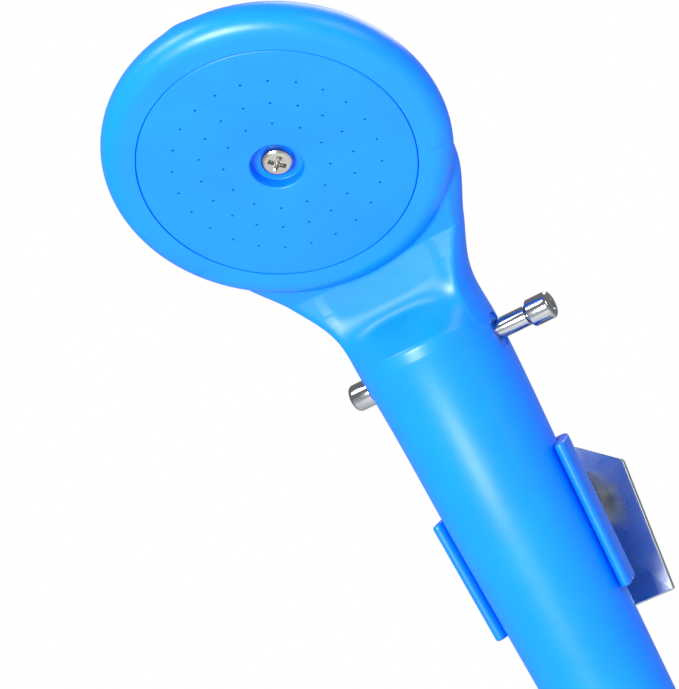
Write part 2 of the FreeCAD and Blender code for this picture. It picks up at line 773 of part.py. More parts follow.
def wall_bracket():
    """The polished wall plate, its two screw holes and the ears that carry the pivot."""
    body = doc.addObject("PartDesign::Body", "wall_bracket_body")
    pad(body, outline(body, "bracket_plate", "XZ_Plane", [
        ("-bracket_half", "-bracket_low"),
        ("bracket_half", "-bracket_low"),
        ("bracket_half", "bracket_corner_z"),
        ("bracket_corner_x", "bracket_top"),
        ("-bracket_corner_x", "bracket_top"),
        ("-bracket_half", "bracket_corner_z"),
    ]), "bracket_thick")
    inside = "(lug_half + washer_gap + washer_thick)"
    for index, side in enumerate(("", "-")):
        start = inside if side == "" else "-%s - ear_thick" % inside
        pad(body, outline(body, "ear_web_%d" % index, "YZ_Plane", [
            ("-bracket_thick - pivot_stand", "pivot_rise - pivot_rad"),
            ("-bracket_thick / 2", "pivot_rise - pivot_rad"),
            ("-bracket_thick / 2", "pivot_rise + pivot_rad"),
            ("-bracket_thick - pivot_stand", "pivot_rise + pivot_rad"),
        ], start), "ear_thick")
        pad(body, circle(body, "ear_end_%d" % index, "YZ_Plane", "-bracket_thick - pivot_stand",
                         "pivot_rise", "pivot_rad", start), "ear_thick")
    pocket(body, circle(body, "ear_bore", "YZ_Plane", "-bracket_thick - pivot_stand",
                        "pivot_rise", "pivot_bore"), "4 * bracket_half", symmetric=True)
    for index, height in enumerate(("-hole_at", "hole_at")):
        pocket(body, circle(body, "wall_hole_%d" % index, "XZ_Plane", "0", height, "hole_rad"),
               "4 * bracket_thick", symmetric=True)
    return node(turn_about_x(body, ("0", "0", "0"), "0"), "wall_bracket")


def pivot_bolt():
    """The plated pivot bolt with its low round head."""
    outside = "(lug_half + washer_gap + washer_thick + ear_thick)"
    body = turned("pivot_bolt_body", [
        ("-bolt_end", "0"),
        ("-bolt_end", "bolt_rad - 0.4"),
        ("-bolt_end + 0.4", "bolt_rad"),
        (outside, "bolt_rad"),
        (outside, "bolt_head_rad"),
        (outside + " + bolt_head_thick", "bolt_head_rad"),
        (outside + " + bolt_head_thick", "0"),
    ], along="x")
    round_edges(body, "bolt_head_thick / 2",
                ring_at("bolt_head_rad", outside + " + bolt_head_thick", axis=0))
    slot = outline(body, "bolt_slot", "XZ_Plane", [
        (outside + " + bolt_head_thick / 2", "-recess_wide / 2"),
        (outside + " + 2 * bolt_head_thick", "-recess_wide / 2"),
        (outside + " + 2 * bolt_head_thick", "recess_wide / 2"),
        (outside + " + bolt_head_thick / 2", "recess_wide / 2"),
    ])
    pocket(body, slot, "4 * bolt_head_rad", symmetric=True)
    return node(on_pivot(body), "pivot_bolt")


def flat_ring(name, near, thick, inner, outer):
    """A flat ring round the X axis from one place on, as a body."""
    far = "%s + %s" % (near, thick)
    return turned(name, [(near, inner), (near, outer), (far, outer), (far, inner)], along="x")


def friction_washers():
    """The two fibre washers between the clip's lug and the ears."""
    right = flat_ring("washer_right", "lug_half + washer_gap", "washer_thick", "bolt_rad",
                      "washer_rad")
    left = flat_ring("washer_left", "-lug_half - washer_gap - washer_thick", "washer_thick",
                     "bolt_rad", "washer_rad")
    group = doc.addObject("Part::Compound", "washer_pair")
    group.Links = [right, left]
    return node(on_pivot(group), "friction_washers")


def lock_washer():
    """The split spring washer under the nut."""
    near = "-lug_half - washer_gap - washer_thick - ear_thick - lock_thick"
    body = flat_ring("lock_washer_body", near, "lock_thick", "bolt_rad", "bolt_head_rad")
    half = "bolt_head_thick / 8"
    split = outline(body, "lock_split", "XY_Plane", [
        (near + " - lock_thick", "-" + half), ("0", "-" + half), ("0", half),
        (near + " - lock_thick", half)])
    pocket(body, split, "2 * bolt_head_rad", reverse=True)
    return node(on_pivot(body), "lock_washer")


def pivot_nut():
    """The fluted thumb nut that sets the pivot's stiffness."""
    near = "-lug_half - washer_gap - washer_thick - ear_thick - lock_thick - nut_gap"
    far = near + " - nut_thick"
    body = flat_ring("pivot_nut_body", far, "nut_thick", "bolt_rad + nut_gap", "nut_rad")
    round_edges(body, "nut_flute", ring_at("nut_rad", far, axis=0), kind="Chamfer")
    flute = circle(body, "nut_flute_round", "YZ_Plane", "nut_rad + nut_flute * 0.4", "0", "nut_flute",
                   far + " - 1")
    polar(body, pocket(body, flute, "nut_thick + 2", reverse=True), NUT_FLUTES, role="X_Axis")
    return node(on_pivot(body), "pivot_nut")


def check_objects():
    """Stop if anything in the document failed or a sub-part has no sound solid."""
    for thing in doc.Objects:
        if "Invalid" in thing.State or "Error" in thing.State:
            raise RuntimeError("%s failed: %s" % (thing.Name, thing.State))
    for thing in nodes:
        shape = thing.Shape
        if shape.isNull() or not shape.isValid() or not shape.Solids:
            raise RuntimeError(thing.Label + " has no sound solid")


def write_parts():
    """Write each sub-part to a file of its own name."""
    os.makedirs("parts", exist_ok=True)
    for thing in nodes:
        thing.Shape.exportStep("parts/%s.step" % thing.Label)
        print("%-18s %9.1f mm3 %d solid(s)" % (thing.Label, thing.Shape.Volume,
                                               len(thing.Shape.Solids)))


fill_sheet()
handset_shell()
spray_plate()
plate_seal()
plate_screw()
screw_insert()
valve_sleeve()
sleeve_seals()
stop_rod()
rod_knob()
rod_seals()
rod_bush("rod_bush_left", "-")
rod_bush("rod_bush_right", "")
inlet_nipple()
nipple_seal()
inlet_strainer()
holder_clip()
wall_bracket()
pivot_bolt()
friction_washers()
lock_washer()
pivot_nut()
doc.recompute()
check_objects()
write_parts()
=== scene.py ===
import json
import logging
import math
from dataclasses import dataclass, field
from enum import Enum
from typing import Callable, Sequence

import bpy
import numpy as np
from mathutils import Matrix, Vector

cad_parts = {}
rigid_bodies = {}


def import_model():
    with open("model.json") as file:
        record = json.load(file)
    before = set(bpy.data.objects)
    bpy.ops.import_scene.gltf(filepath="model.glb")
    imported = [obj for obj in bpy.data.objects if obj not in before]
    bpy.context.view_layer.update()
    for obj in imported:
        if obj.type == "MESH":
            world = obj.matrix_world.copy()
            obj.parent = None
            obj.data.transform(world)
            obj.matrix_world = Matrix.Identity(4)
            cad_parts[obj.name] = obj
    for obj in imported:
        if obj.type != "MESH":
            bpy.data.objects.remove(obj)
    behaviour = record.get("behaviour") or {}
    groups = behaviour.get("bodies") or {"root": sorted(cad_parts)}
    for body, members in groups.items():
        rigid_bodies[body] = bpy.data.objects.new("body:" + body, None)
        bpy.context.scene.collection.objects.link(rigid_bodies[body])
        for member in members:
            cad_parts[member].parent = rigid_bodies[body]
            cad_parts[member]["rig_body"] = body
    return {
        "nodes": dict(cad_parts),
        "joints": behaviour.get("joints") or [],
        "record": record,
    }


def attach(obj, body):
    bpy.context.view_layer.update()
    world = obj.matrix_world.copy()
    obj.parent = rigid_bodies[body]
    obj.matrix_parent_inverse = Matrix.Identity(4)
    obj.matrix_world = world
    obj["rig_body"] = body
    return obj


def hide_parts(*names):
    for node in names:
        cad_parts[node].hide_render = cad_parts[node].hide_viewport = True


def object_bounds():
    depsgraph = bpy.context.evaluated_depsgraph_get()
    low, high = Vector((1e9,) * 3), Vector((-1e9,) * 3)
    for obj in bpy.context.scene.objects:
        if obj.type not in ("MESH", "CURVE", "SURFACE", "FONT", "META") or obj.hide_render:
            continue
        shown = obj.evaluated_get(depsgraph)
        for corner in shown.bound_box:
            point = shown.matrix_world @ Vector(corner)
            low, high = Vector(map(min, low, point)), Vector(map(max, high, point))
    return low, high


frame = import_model()
CAD_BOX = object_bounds()

MM = 0.001
# A band wave of scale 1 repeats this many times in a unit of length.
WAVES_IN_UNIT = 20
LOG = logging.getLogger("spray_handset")

Array = np.ndarray
Patch = tuple[Array, list]


class Turning(Enum):
    """How many straight steps a full turn of a round piece has."""

    FINE = 48
    ROUND = 96
    SMOOTH = 192
    BROAD = 256


class Cut(Enum):
    """What a solid does to another one."""

    AWAY = "DIFFERENCE"
    ON = "UNION"


# ---------------------------------------------------------------- frames


@dataclass(frozen=True)
class Frame:
    """A right-handed frame of its own: an origin and three axes, in the row's frame, in metres."""

    origin: Array
    axes: Array

    def place(self, points: Array) -> Array:
        """Bring points in millimetres to the row's frame in metres.

        Args:
            points: Points of this frame, in millimetres, in the last axis of the array.

        Returns:
            The same points in the row's frame, in metres.
        """
        return self.origin + (points * MM) @ self.axes

    def at(self, x: float = 0.0, y: float = 0.0, z: float = 0.0) -> Array:
        """Place one point given in millimetres."""
        return self.place(np.array([x, y, z]))

    def moved(self, x: float = 0.0, y: float = 0.0, z: float = 0.0) -> "Frame":
        """Give a frame with the same axes and its origin at a point of this one, in millimetres."""
        return Frame(self.at(x, y, z), self.axes)

    def tipped(self, degrees: float) -> "Frame":
        """Give this frame turned about its own first axis."""
        turn = math.radians(degrees)
        across, back, up = self.axes
        return Frame(self.origin, np.array([
            across,
            back * math.cos(turn) + up * math.sin(turn),
            up * math.cos(turn) - back * math.sin(turn),
        ]))

    def sideways(self) -> "Frame":
        """Give this frame with its first axis as the third, so that turned pieces lie along it."""
        across, back, up = self.axes
        return Frame(self.origin, np.array([back, up, across]))


def mount(name: str) -> dict:
    """Find a mount of the record by its name."""
    return next(m for m in frame["record"]["mounts"] if m["name"] == name)


def joint(name: str) -> dict:
    """Find a joint by its name."""
    return next(j for j in frame["joints"] if j["name"] == name)


def handset_frame(thread_middle: float) -> Frame:
    """Work out the handset's frame: z runs up the handle from the nipple's mouth, y to the wall.

    Args:
        thread_middle: Height of the hose thread's middle above the nipple's mouth, in millimetres.

    Returns:
        The frame that the handset's sizes are measured in.
    """
    up = np.array(joint("handset_lift")["axis"])
    up = up / np.linalg.norm(up)
    across = np.array([1.0, 0.0, 0.0])
    origin = np.array(mount("hose_thread")["pos_m"]) - up * thread_middle * MM
    return Frame(origin, np.array([across, np.cross(up, across), up]))


# ---------------------------------------------------------------- surfaces


def lattice(rows: int, columns: int, closed_rows: bool, first: int = 0) -> list:
    """List the four-sided faces of a grid whose columns always run round and close.

    Args:
        rows: Number of rows of points.
        columns: Number of points in each row.
        closed_rows: Whether the last row joins the first one.
        first: Number of the grid's first point.

    Returns:
        Faces as lists of point numbers.
    """
    index = np.arange(rows * columns).reshape(rows, columns) + first
    above = np.roll(index, -1, axis=0)
    if not closed_rows:
        index, above = index[:-1], above[:-1]
    faces = np.stack([index, np.roll(index, -1, axis=1), np.roll(above, -1, axis=1), above], axis=-1)
    return faces.reshape(-1, 4).tolist()


def skin(points: Array, ring: bool = False) -> Patch:
    """Close a grid of points into a solid's skin.

    The points are point(row, column). Each row is a loop. Either the rows join end to end into a
    ring, or the first and the last loop are each closed by a fan round their mean point.

    Args:
        points: Array of rows, columns and three coordinates.
        ring: Whether the last row joins the first one.

    Returns:
        The points as one list, and the faces, turned so that they look outwards.
    """
    rows, columns = points.shape[:2]
    flat = points.reshape(-1, 3)
    faces = lattice(rows, columns, ring)
    if not ring:
        flat = np.vstack([flat, points[0].mean(0), points[-1].mean(0)])
        loop = np.arange(columns)
        after = np.roll(loop, -1)
        low, high = rows * columns, rows * columns + 1
        last = (rows - 1) * columns
        faces += np.stack([after, loop, np.full(columns, low)], axis=-1).tolist()
        faces += np.stack([loop + last, after + last, np.full(columns, high)], axis=-1).tolist()
    if volume(flat, faces) < 0:
        faces = [face[::-1] for face in faces]
    return flat, faces


def volume(points: Array, faces: list) -> float:
    """Add up the signed volumes of the pyramids from the mean point to every face."""
    middle = points - points.mean(0)
    quads = np.array([face if len(face) == 4 else face + face[-1:] for face in faces])
    a, b, c, d = (middle[quads[:, k]] for k in range(4))
    return float((np.cross(a, b) * c).sum() + (np.cross(a, c) * d).sum()) / 6


def rounded(corners: Sequence[tuple[float, float, float]], closed: bool = True, steps: int = 5) -> Array:
    """Round the corners of an outline with arcs that touch both sides.

    An arc of radius r starts and ends r / tan(half the inside angle) from the corner, and its points
    stand at even angles about its centre.

    Args:
        corners: Each corner's two coordinates and its radius, all in millimetres.
        closed: Whether the last corner joins the first one.
        steps: Straight steps in each arc.

    Returns:
        The outline's points, in order.
    """
    spots = np.array([corner[:2] for corner in corners], float)
    count = len(spots)
    made = []
    for index, (_, _, radius) in enumerate(corners):
        here = spots[index]
        if radius <= 0 or (not closed and index in (0, count - 1)):
            made.append(here[None, :])
            continue
        before = spots[index - 1] - here
        after = spots[(index + 1) % count] - here
        before, after = before / np.linalg.norm(before), after / np.linalg.norm(after)
        half = math.acos(float(np.clip(before @ after, -1, 1))) / 2
        bisector = (before + after) / np.linalg.norm(before + after)
        centre = here + bisector * radius / math.sin(half)
        start = here + before * radius / math.tan(half) - centre
        end = here + after * radius / math.tan(half) - centre
        sweep = math.atan2(start[0] * end[1] - start[1] * end[0], float(start @ end))
        angles = np.linspace(0, sweep, steps + 1)[:, None]
        normal = np.array([-start[1], start[0]])
        made.append(centre + start * np.cos(angles) + normal * np.sin(angles))
    return np.vstack(made)


def turned(profile: Array, place: Frame, turning: Turning, ring: bool = False,
           swell: Callable[[Array, Array, Array], Array] | None = None) -> Patch:
    """Turn a profile about a frame's third axis: point = (r cos a, r sin a, height).

    Args:
        profile: Radius and height of each point, in millimetres.
        place: Frame to turn in.
        turning: Steps in the full turn.
        ring: Whether the profile closes on itself, as on a tube.
        swell: Gives the change of radius from arrays of radius, height and angle.

    Returns:
        The skin of the turned solid.
    """
    angle = np.linspace(0, 2 * np.pi, turning.value, endpoint=False)[None, :]
    radius = np.repeat(profile[:, :1], turning.value, axis=1)
    height = np.repeat(profile[:, 1:], turning.value, axis=1)
    if swell is not None:
        radius = radius + swell(radius, height, angle)
    points = np.stack([radius * np.cos(angle), radius * np.sin(angle), height], axis=-1)
    return skin(place.place(points), ring)


def slab(outline: Array, low: float, high: float, edge: float, place: Frame, steps: int = 4) -> Patch:
    """Carry an outline along a frame's third axis between two heights, with rounded edges.

    Near each end the outline draws in by edge * (1 - sin a) while the height runs in by
    edge * (1 - cos a), which is a quarter round.

    Args:
        outline: The outline's points, anticlockwise, in millimetres.
        low: Lower height, in millimetres.
        high: Upper height, in millimetres.
        edge: Radius of the rounded edges, in millimetres.
        place: Frame that the slab is drawn in.
        steps: Straight steps in each quarter round.

    Returns:
        The skin of the slab.
    """
    along = np.roll(outline, -1, axis=0) - np.roll(outline, 1, axis=0)
    normal = np.stack([along[:, 1], -along[:, 0]], axis=1)
    normal /= np.maximum(np.linalg.norm(normal, axis=1, keepdims=True), 1e-9)
    angle = np.linspace(0, np.pi / 2, steps + 1)
    inset = edge * (1 - np.sin(angle))
    rise = edge * (1 - np.cos(angle))
    insets = np.concatenate([inset, inset[::-1]])
    heights = np.concatenate([low + rise, (high - rise)[::-1]])
    flat = outline[None] - normal[None] * insets[:, None, None]
    tall = np.broadcast_to(heights[:, None, None], (len(heights), len(outline), 1))
    return skin(place.place(np.concatenate([flat, tall], axis=2)))


def tube_profile(low: float, high: float, inner: float, outer: float, edge: float) -> Array:
    """Give the closed profile of a plain ring or tube with rounded edges."""
    return rounded([(inner, low, edge), (outer, low, edge), (outer, high, edge), (inner, high, edge)])


def solid(name: str, *patches: Patch, sharp: float = 32.0) -> bpy.types.Object:
    """Make an object at the origin from one or more closed skins.

    Args:
        name: Name of the object.
        patches: Skins to put in it.
        sharp: Edges that bend by more degrees than this stay sharp in the shading.

    Returns:
        The new object, linked to the scene.
    """
    points, faces, first = [], [], 0
    for spots, made in patches:
        points.append(spots)
        faces += [[index + first for index in face] for face in made]
        first += len(spots)
    mesh = bpy.data.meshes.new(name)
    mesh.from_pydata(np.vstack(points), [], faces)
    mesh.validate()
    shade(mesh, sharp)
    made_object = bpy.data.objects.new(name, mesh)
    bpy.context.scene.collection.objects.link(made_object)
    return made_object


def shade(mesh: bpy.types.Mesh, sharp: float) -> None:
    """Shade a mesh smooth except across edges that bend by more than some degrees."""
    mesh.polygons.foreach_set("use_smooth", np.ones(len(mesh.polygons), bool))
    mesh.set_sharp_from_angle(angle=math.radians(sharp))
    mesh.update()


def combine(piece: bpy.types.Object, cut: Cut, tool: bpy.types.Object,
            sharp: float = 32.0) -> bpy.types.Object:
    """Cut a closed solid away from a piece, or add it on, and drop the tool.

    Args:
        piece: The piece to change.
        cut: What to do.
        tool: The other solid.
        sharp: Edges that bend by more degrees than this stay sharp in the shading.

    Returns:
        The changed piece.
    """
    modifier = piece.modifiers.new("combine", "BOOLEAN")
    modifier.operation = cut.value
    modifier.solver = "MANIFOLD"
    modifier.object = tool
    bpy.context.view_layer.update()
    evaluated = piece.evaluated_get(bpy.context.evaluated_depsgraph_get())
    made = bpy.data.meshes.new_from_object(evaluated)
    piece.modifiers.clear()
    if not made.polygons:
        raise RuntimeError(f"combining {tool.name} with {piece.name} leaves nothing")
    piece.data = made
    shade(made, sharp)
    bpy.data.objects.remove(tool)
    return piece


def blend_low(a: Array, b: Array, width: Array | float) -> Array:
    """Take the lower of two fields, rounded where they cross: min - h^2 w / 4, h = 1 - |a - b| / w."""
    share = np.clip(1 - np.abs(a - b) / width, 0, None)
    return np.minimum(a, b) - share * share * width / 4


def blend_high(a: Array, b: Array, width: Array | float) -> Array:
    """Take the higher of two fields, rounded where they cross."""
    return -blend_low(-a, -b, width)


def through(where: Array, stations: Array, values: Array) -> Array:
    """Run a smooth curve through values at stations: cubic pieces with the mean slope at each one."""
    slope = np.gradient(values, stations)
    index = np.clip(np.searchsorted(stations, where) - 1, 0, len(stations) - 2)
    span = stations[index + 1] - stations[index]
    t = np.clip((where - stations[index]) / span, 0, 1)
    return ((1 + 2 * t) * (1 - t) ** 2 * values[index] + t * (1 - t) ** 2 * span * slope[index]
            + t * t * (3 - 2 * t) * values[index + 1] + t * t * (t - 1) * span * slope[index + 1])


# ---------------------------------------------------------------- finishes


def linear(code: str) -> tuple[float, float, float, float]:
    """Turn an sRGB hex colour into Blender's linear colour with full alpha."""
    levels = [int(code[k:k + 2], 16) / 255 for k in (1, 3, 5)]
    r, g, b = (v / 12.92 if v <= 0.04045 else ((v + 0.055) / 1.055) ** 2.4 for v in levels)
    return (r, g, b, 1.0)


def add(tree: bpy.types.NodeTree, kind: str, settings: dict | None = None,
        **inputs: object) -> bpy.types.Node:
    """Add a node with its settings, and set or link its inputs.

    Args:
        tree: Node tree to add to.
        kind: Type name of the node.
        settings: Properties of the node.
        inputs: Input names, with _ for a space, or slot numbers as i0, i1 and so on. A socket is
            linked and any other value is set.

    Returns:
        The new node.
    """
    node = tree.nodes.new(kind)
    for name, value in (settings or {}).items():
        setattr(node, name, value)
    for name, value in inputs.items():
        key = int(name[1:]) if name[0] == "i" and name[1:].isdigit() else name.replace("_", " ")
        if isinstance(value, bpy.types.NodeSocket):
            tree.links.new(value, node.inputs[key])
        else:
            node.inputs[key].default_value = value
    return node


@dataclass(frozen=True)
class Finish:
    """What every finish has: a name, two nearby colours and a range of roughness.

    The colour drifts between the two over patch_mm, the roughness over smear_mm, and a fine relief
    of grain_mm stands grain_high above and below the surface.
    """

    name: str
    light: str
    dark: str
    smooth: float
    rough: float
    patch_mm: float = 14.0
    smear_mm: float = 3.0
    grain_mm: float = 0.35
    grain_high: float = 0.004
    metallic: float = 0.0
    ior: float = 1.5

    def start(self) -> tuple[bpy.types.Material, bpy.types.NodeTree, bpy.types.Node, bpy.types.NodeSocket]:
        """Make the material with its shader and its coordinates."""
        material = bpy.data.materials.new(self.name)
        material.use_nodes = True
        tree = material.node_tree
        shader = tree.nodes["Principled BSDF"]
        shader.inputs["Metallic"].default_value = self.metallic
        if not self.metallic:
            shader.inputs["IOR"].default_value = self.ior
        place = add(tree, "ShaderNodeTexCoord").outputs["Object"]
        return material, tree, shader, place

    def noise(self, tree: bpy.types.NodeTree, place: bpy.types.NodeSocket, size_mm: float,
              detail: float = 3.0) -> bpy.types.NodeSocket:
        """Add noise whose blobs are about size_mm across."""
        return add(tree, "ShaderNodeTexNoise", Vector=place, Scale=1 / (size_mm * MM),
                   Detail=detail, Roughness=0.55).outputs["Fac"]

    def spread(self, tree: bpy.types.NodeTree, source: bpy.types.NodeSocket, low: float,
               high: float) -> bpy.types.NodeSocket:
        """Map the middle half of a noise to a range."""
        return add(tree, "ShaderNodeMapRange", Value=source, From_Min=0.3, From_Max=0.7,
                   To_Min=low, To_Max=high).outputs["Result"]

    def relief(self, tree: bpy.types.NodeTree, place: bpy.types.NodeSocket) -> bpy.types.NodeSocket:
        """Give the height field of the fine surface grain."""
        return self.noise(tree, place, self.grain_mm, 2.0)

    def make(self) -> bpy.types.Material:
        """Build the whole material.

        Returns:
            The finished material.
        """
        material, tree, shader, place = self.start()
        drift = self.noise(tree, place, self.patch_mm)
        colour = add(tree, "ShaderNodeMix", {"data_type": "RGBA"}, Factor=self.spread(tree, drift, 0, 1),
                     i6=linear(self.light), i7=linear(self.dark)).outputs[2]
        tree.links.new(colour, shader.inputs["Base Color"])
        smear = self.noise(tree, place, self.smear_mm, 5.0)
        tree.links.new(self.spread(tree, smear, self.smooth, self.rough), shader.inputs["Roughness"])
        bump = add(tree, "ShaderNodeBump", Height=self.relief(tree, place), Strength=0.5,
                   Distance=self.grain_high * MM)
        tree.links.new(bump.outputs["Normal"], shader.inputs["Normal"])
        return material


@dataclass(frozen=True)
class TurnedFinish(Finish):
    """A metal turned on a lathe: fine tool marks run round the piece's own axis."""

    axis: str = "X"
    mark_mm: float = 0.12

    def relief(self, tree: bpy.types.NodeTree, place: bpy.types.NodeSocket) -> bpy.types.NodeSocket:
        """Give the tool marks, which are bands along the axis broken up by a little noise."""
        bands = add(tree, "ShaderNodeTexWave", {"wave_type": "BANDS", "bands_direction": self.axis},
                    Vector=place, Scale=1 / (self.mark_mm * MM * WAVES_IN_UNIT), Distortion=1.5, Detail=2.0)
        return bands.outputs["Fac"]


@dataclass(frozen=True)
class RolledFinish(Finish):
    """A rolled and polished sheet: long fine lines along one direction."""

    stretch: float = 14.0

    def relief(self, tree: bpy.types.NodeTree, place: bpy.types.NodeSocket) -> bpy.types.NodeSocket:
        """Give noise drawn out along the sheet's height into rolling lines."""
        long = add(tree, "ShaderNodeMapping", Vector=place, Scale=(1.0, 1.0, 1 / self.stretch))
        return self.noise(tree, long.outputs["Vector"], self.grain_mm, 4.0)


class Finishes:
    """Every finish of the object, made once and found by the record's material slot."""

    # Moulded ABS: satin gloss straight from a lightly textured mould, coloured in the mass.
    ABS = Finish("moulded_abs_azure", "#0073f6", "#006ef0", 0.30, 0.36, grain_mm=0.5, grain_high=0.004,
                 ior=1.38)
    # The face plate comes from another mould, with a slightly finer and duller surface.
    PLATE = Finish("moulded_abs_face", "#0070f5", "#006bee", 0.36, 0.44, grain_mm=0.4, grain_high=0.004,
                   ior=1.38)
    # The clip is moulded in the same plastic, and its lips are rubbed smoother by the handle.
    CLIP = Finish("moulded_abs_clip", "#0069ea", "#0064e2", 0.28, 0.36, grain_mm=0.5, grain_high=0.004,
                  ior=1.38)
    # Chrome over turned brass: a mirror with tool marks that hardly show and dull smears from fingers.
    CHROME = TurnedFinish("chromed_turned_brass", "#b4b6ba", "#a4a7ac", 0.10, 0.16,
                          grain_high=0.00004, metallic=1.0, mark_mm=0.6)
    CHROME_UP = TurnedFinish("chromed_nipple", "#d2d4d8", "#c2c5ca", 0.06, 0.16,
                             grain_high=0.0002, metallic=1.0, axis="Z", mark_mm=0.3)
    # Nickel on cold-headed steel: greyer and warmer than chrome, slightly pitted.
    NICKEL = Finish("nickel_plated_steel", "#bdbab4", "#a9a69f", 0.12, 0.22, smear_mm=0.8,
                    grain_mm=0.25, grain_high=0.002, metallic=1.0)
    # Rolled stainless sheet: bright but a little cloudy, with long rolling lines.
    SHEET = RolledFinish("polished_stainless_sheet", "#c4cbd4", "#b4bcc6", 0.26, 0.36,
                         grain_mm=0.22, grain_high=0.0015, metallic=1.0)
    # Pressed stainless of the strainer: duller from drawing and stained by water.
    DRAWN = Finish("drawn_stainless", "#b9bcc0", "#9da1a6", 0.25, 0.4, smear_mm=1.0,
                   grain_mm=0.2, grain_high=0.003, metallic=1.0)
    BRASS = TurnedFinish("turned_brass", "#d9b565", "#c49b4a", 0.2, 0.35, grain_high=0.003, metallic=1.0)
    # Natural acetal: a milky hard plastic with a faint waxy sheen.
    ACETAL = Finish("natural_acetal", "#e9e8e2", "#dedcd4", 0.32, 0.45, grain_mm=0.4, grain_high=0.004)
    # Nitrile rubber: near black, dusty and soft in its gloss.
    RUBBER = Finish("nitrile_rubber", "#1b1b1c", "#242425", 0.5, 0.7, grain_mm=0.2, grain_high=0.006)
    # Vulcanised fibre: red-brown pressed paper with a visible felted grain.
    FIBRE = Finish("vulcanised_fibre", "#8a3a22", "#6f2c1a", 0.55, 0.75, patch_mm=1.0,
                   grain_mm=0.3, grain_high=0.01)

    SLOTS = {
        "blue_plastic": ABS, "blue_plastic_plate": PLATE, "blue_plastic_clip": CLIP,
        "chrome_rod": CHROME, "chrome_nipple": CHROME_UP, "plated_screw": NICKEL, "plated_nut": NICKEL,
        "polished_steel": SHEET, "strainer_steel": DRAWN, "insert_brass": BRASS,
        "white_plastic": ACETAL, "black_rubber": RUBBER, "fibre": FIBRE,
    }

    def __init__(self) -> None:
        """Start with no material made."""
        self.made: dict[str, bpy.types.Material] = {}

    def of(self, slot: str) -> bpy.types.Material:
        """Give the material of a record slot, making it the first time."""
        finish = self.SLOTS[slot]
        if finish.name not in self.made:
            self.made[finish.name] = finish.make()
        return self.made[finish.name]


FINISHES = Finishes()


def slot_of(node: str) -> str:
    """Find the record's material slot of a CAD node."""
    return next(s["material_slot"] for s in frame["record"]["subparts"] if s["node"] == node)


def stands_for(piece: bpy.types.Object, node: str) -> bpy.types.Object:
    """Let a finished piece stand for a CAD node: same body, same slot, and its finish.

    Args:
        piece: The finished piece.
        node: Name of the CAD node.

    Returns:
        The same piece.
    """
    slot = slot_of(node)
    piece.data.materials.clear()
    piece.data.materials.append(FINISHES.of(slot))
    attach(piece, frame["nodes"][node]["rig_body"])
    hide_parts(node)
    LOG.info("%s stands for %s: %d faces", piece.name, node, len(piece.data.polygons))
    return piece


def dress(*nodes: str) -> None:
    """Give CAD nodes that are shown as they are their finish."""
    for node in nodes:
        mesh = frame["nodes"][node].data
        mesh.materials.clear()
        mesh.materials.append(FINISHES.of(slot_of(node)))
        LOG.info("%s keeps its shape and gets its finish", node)


# ---------------------------------------------------------------- the handset


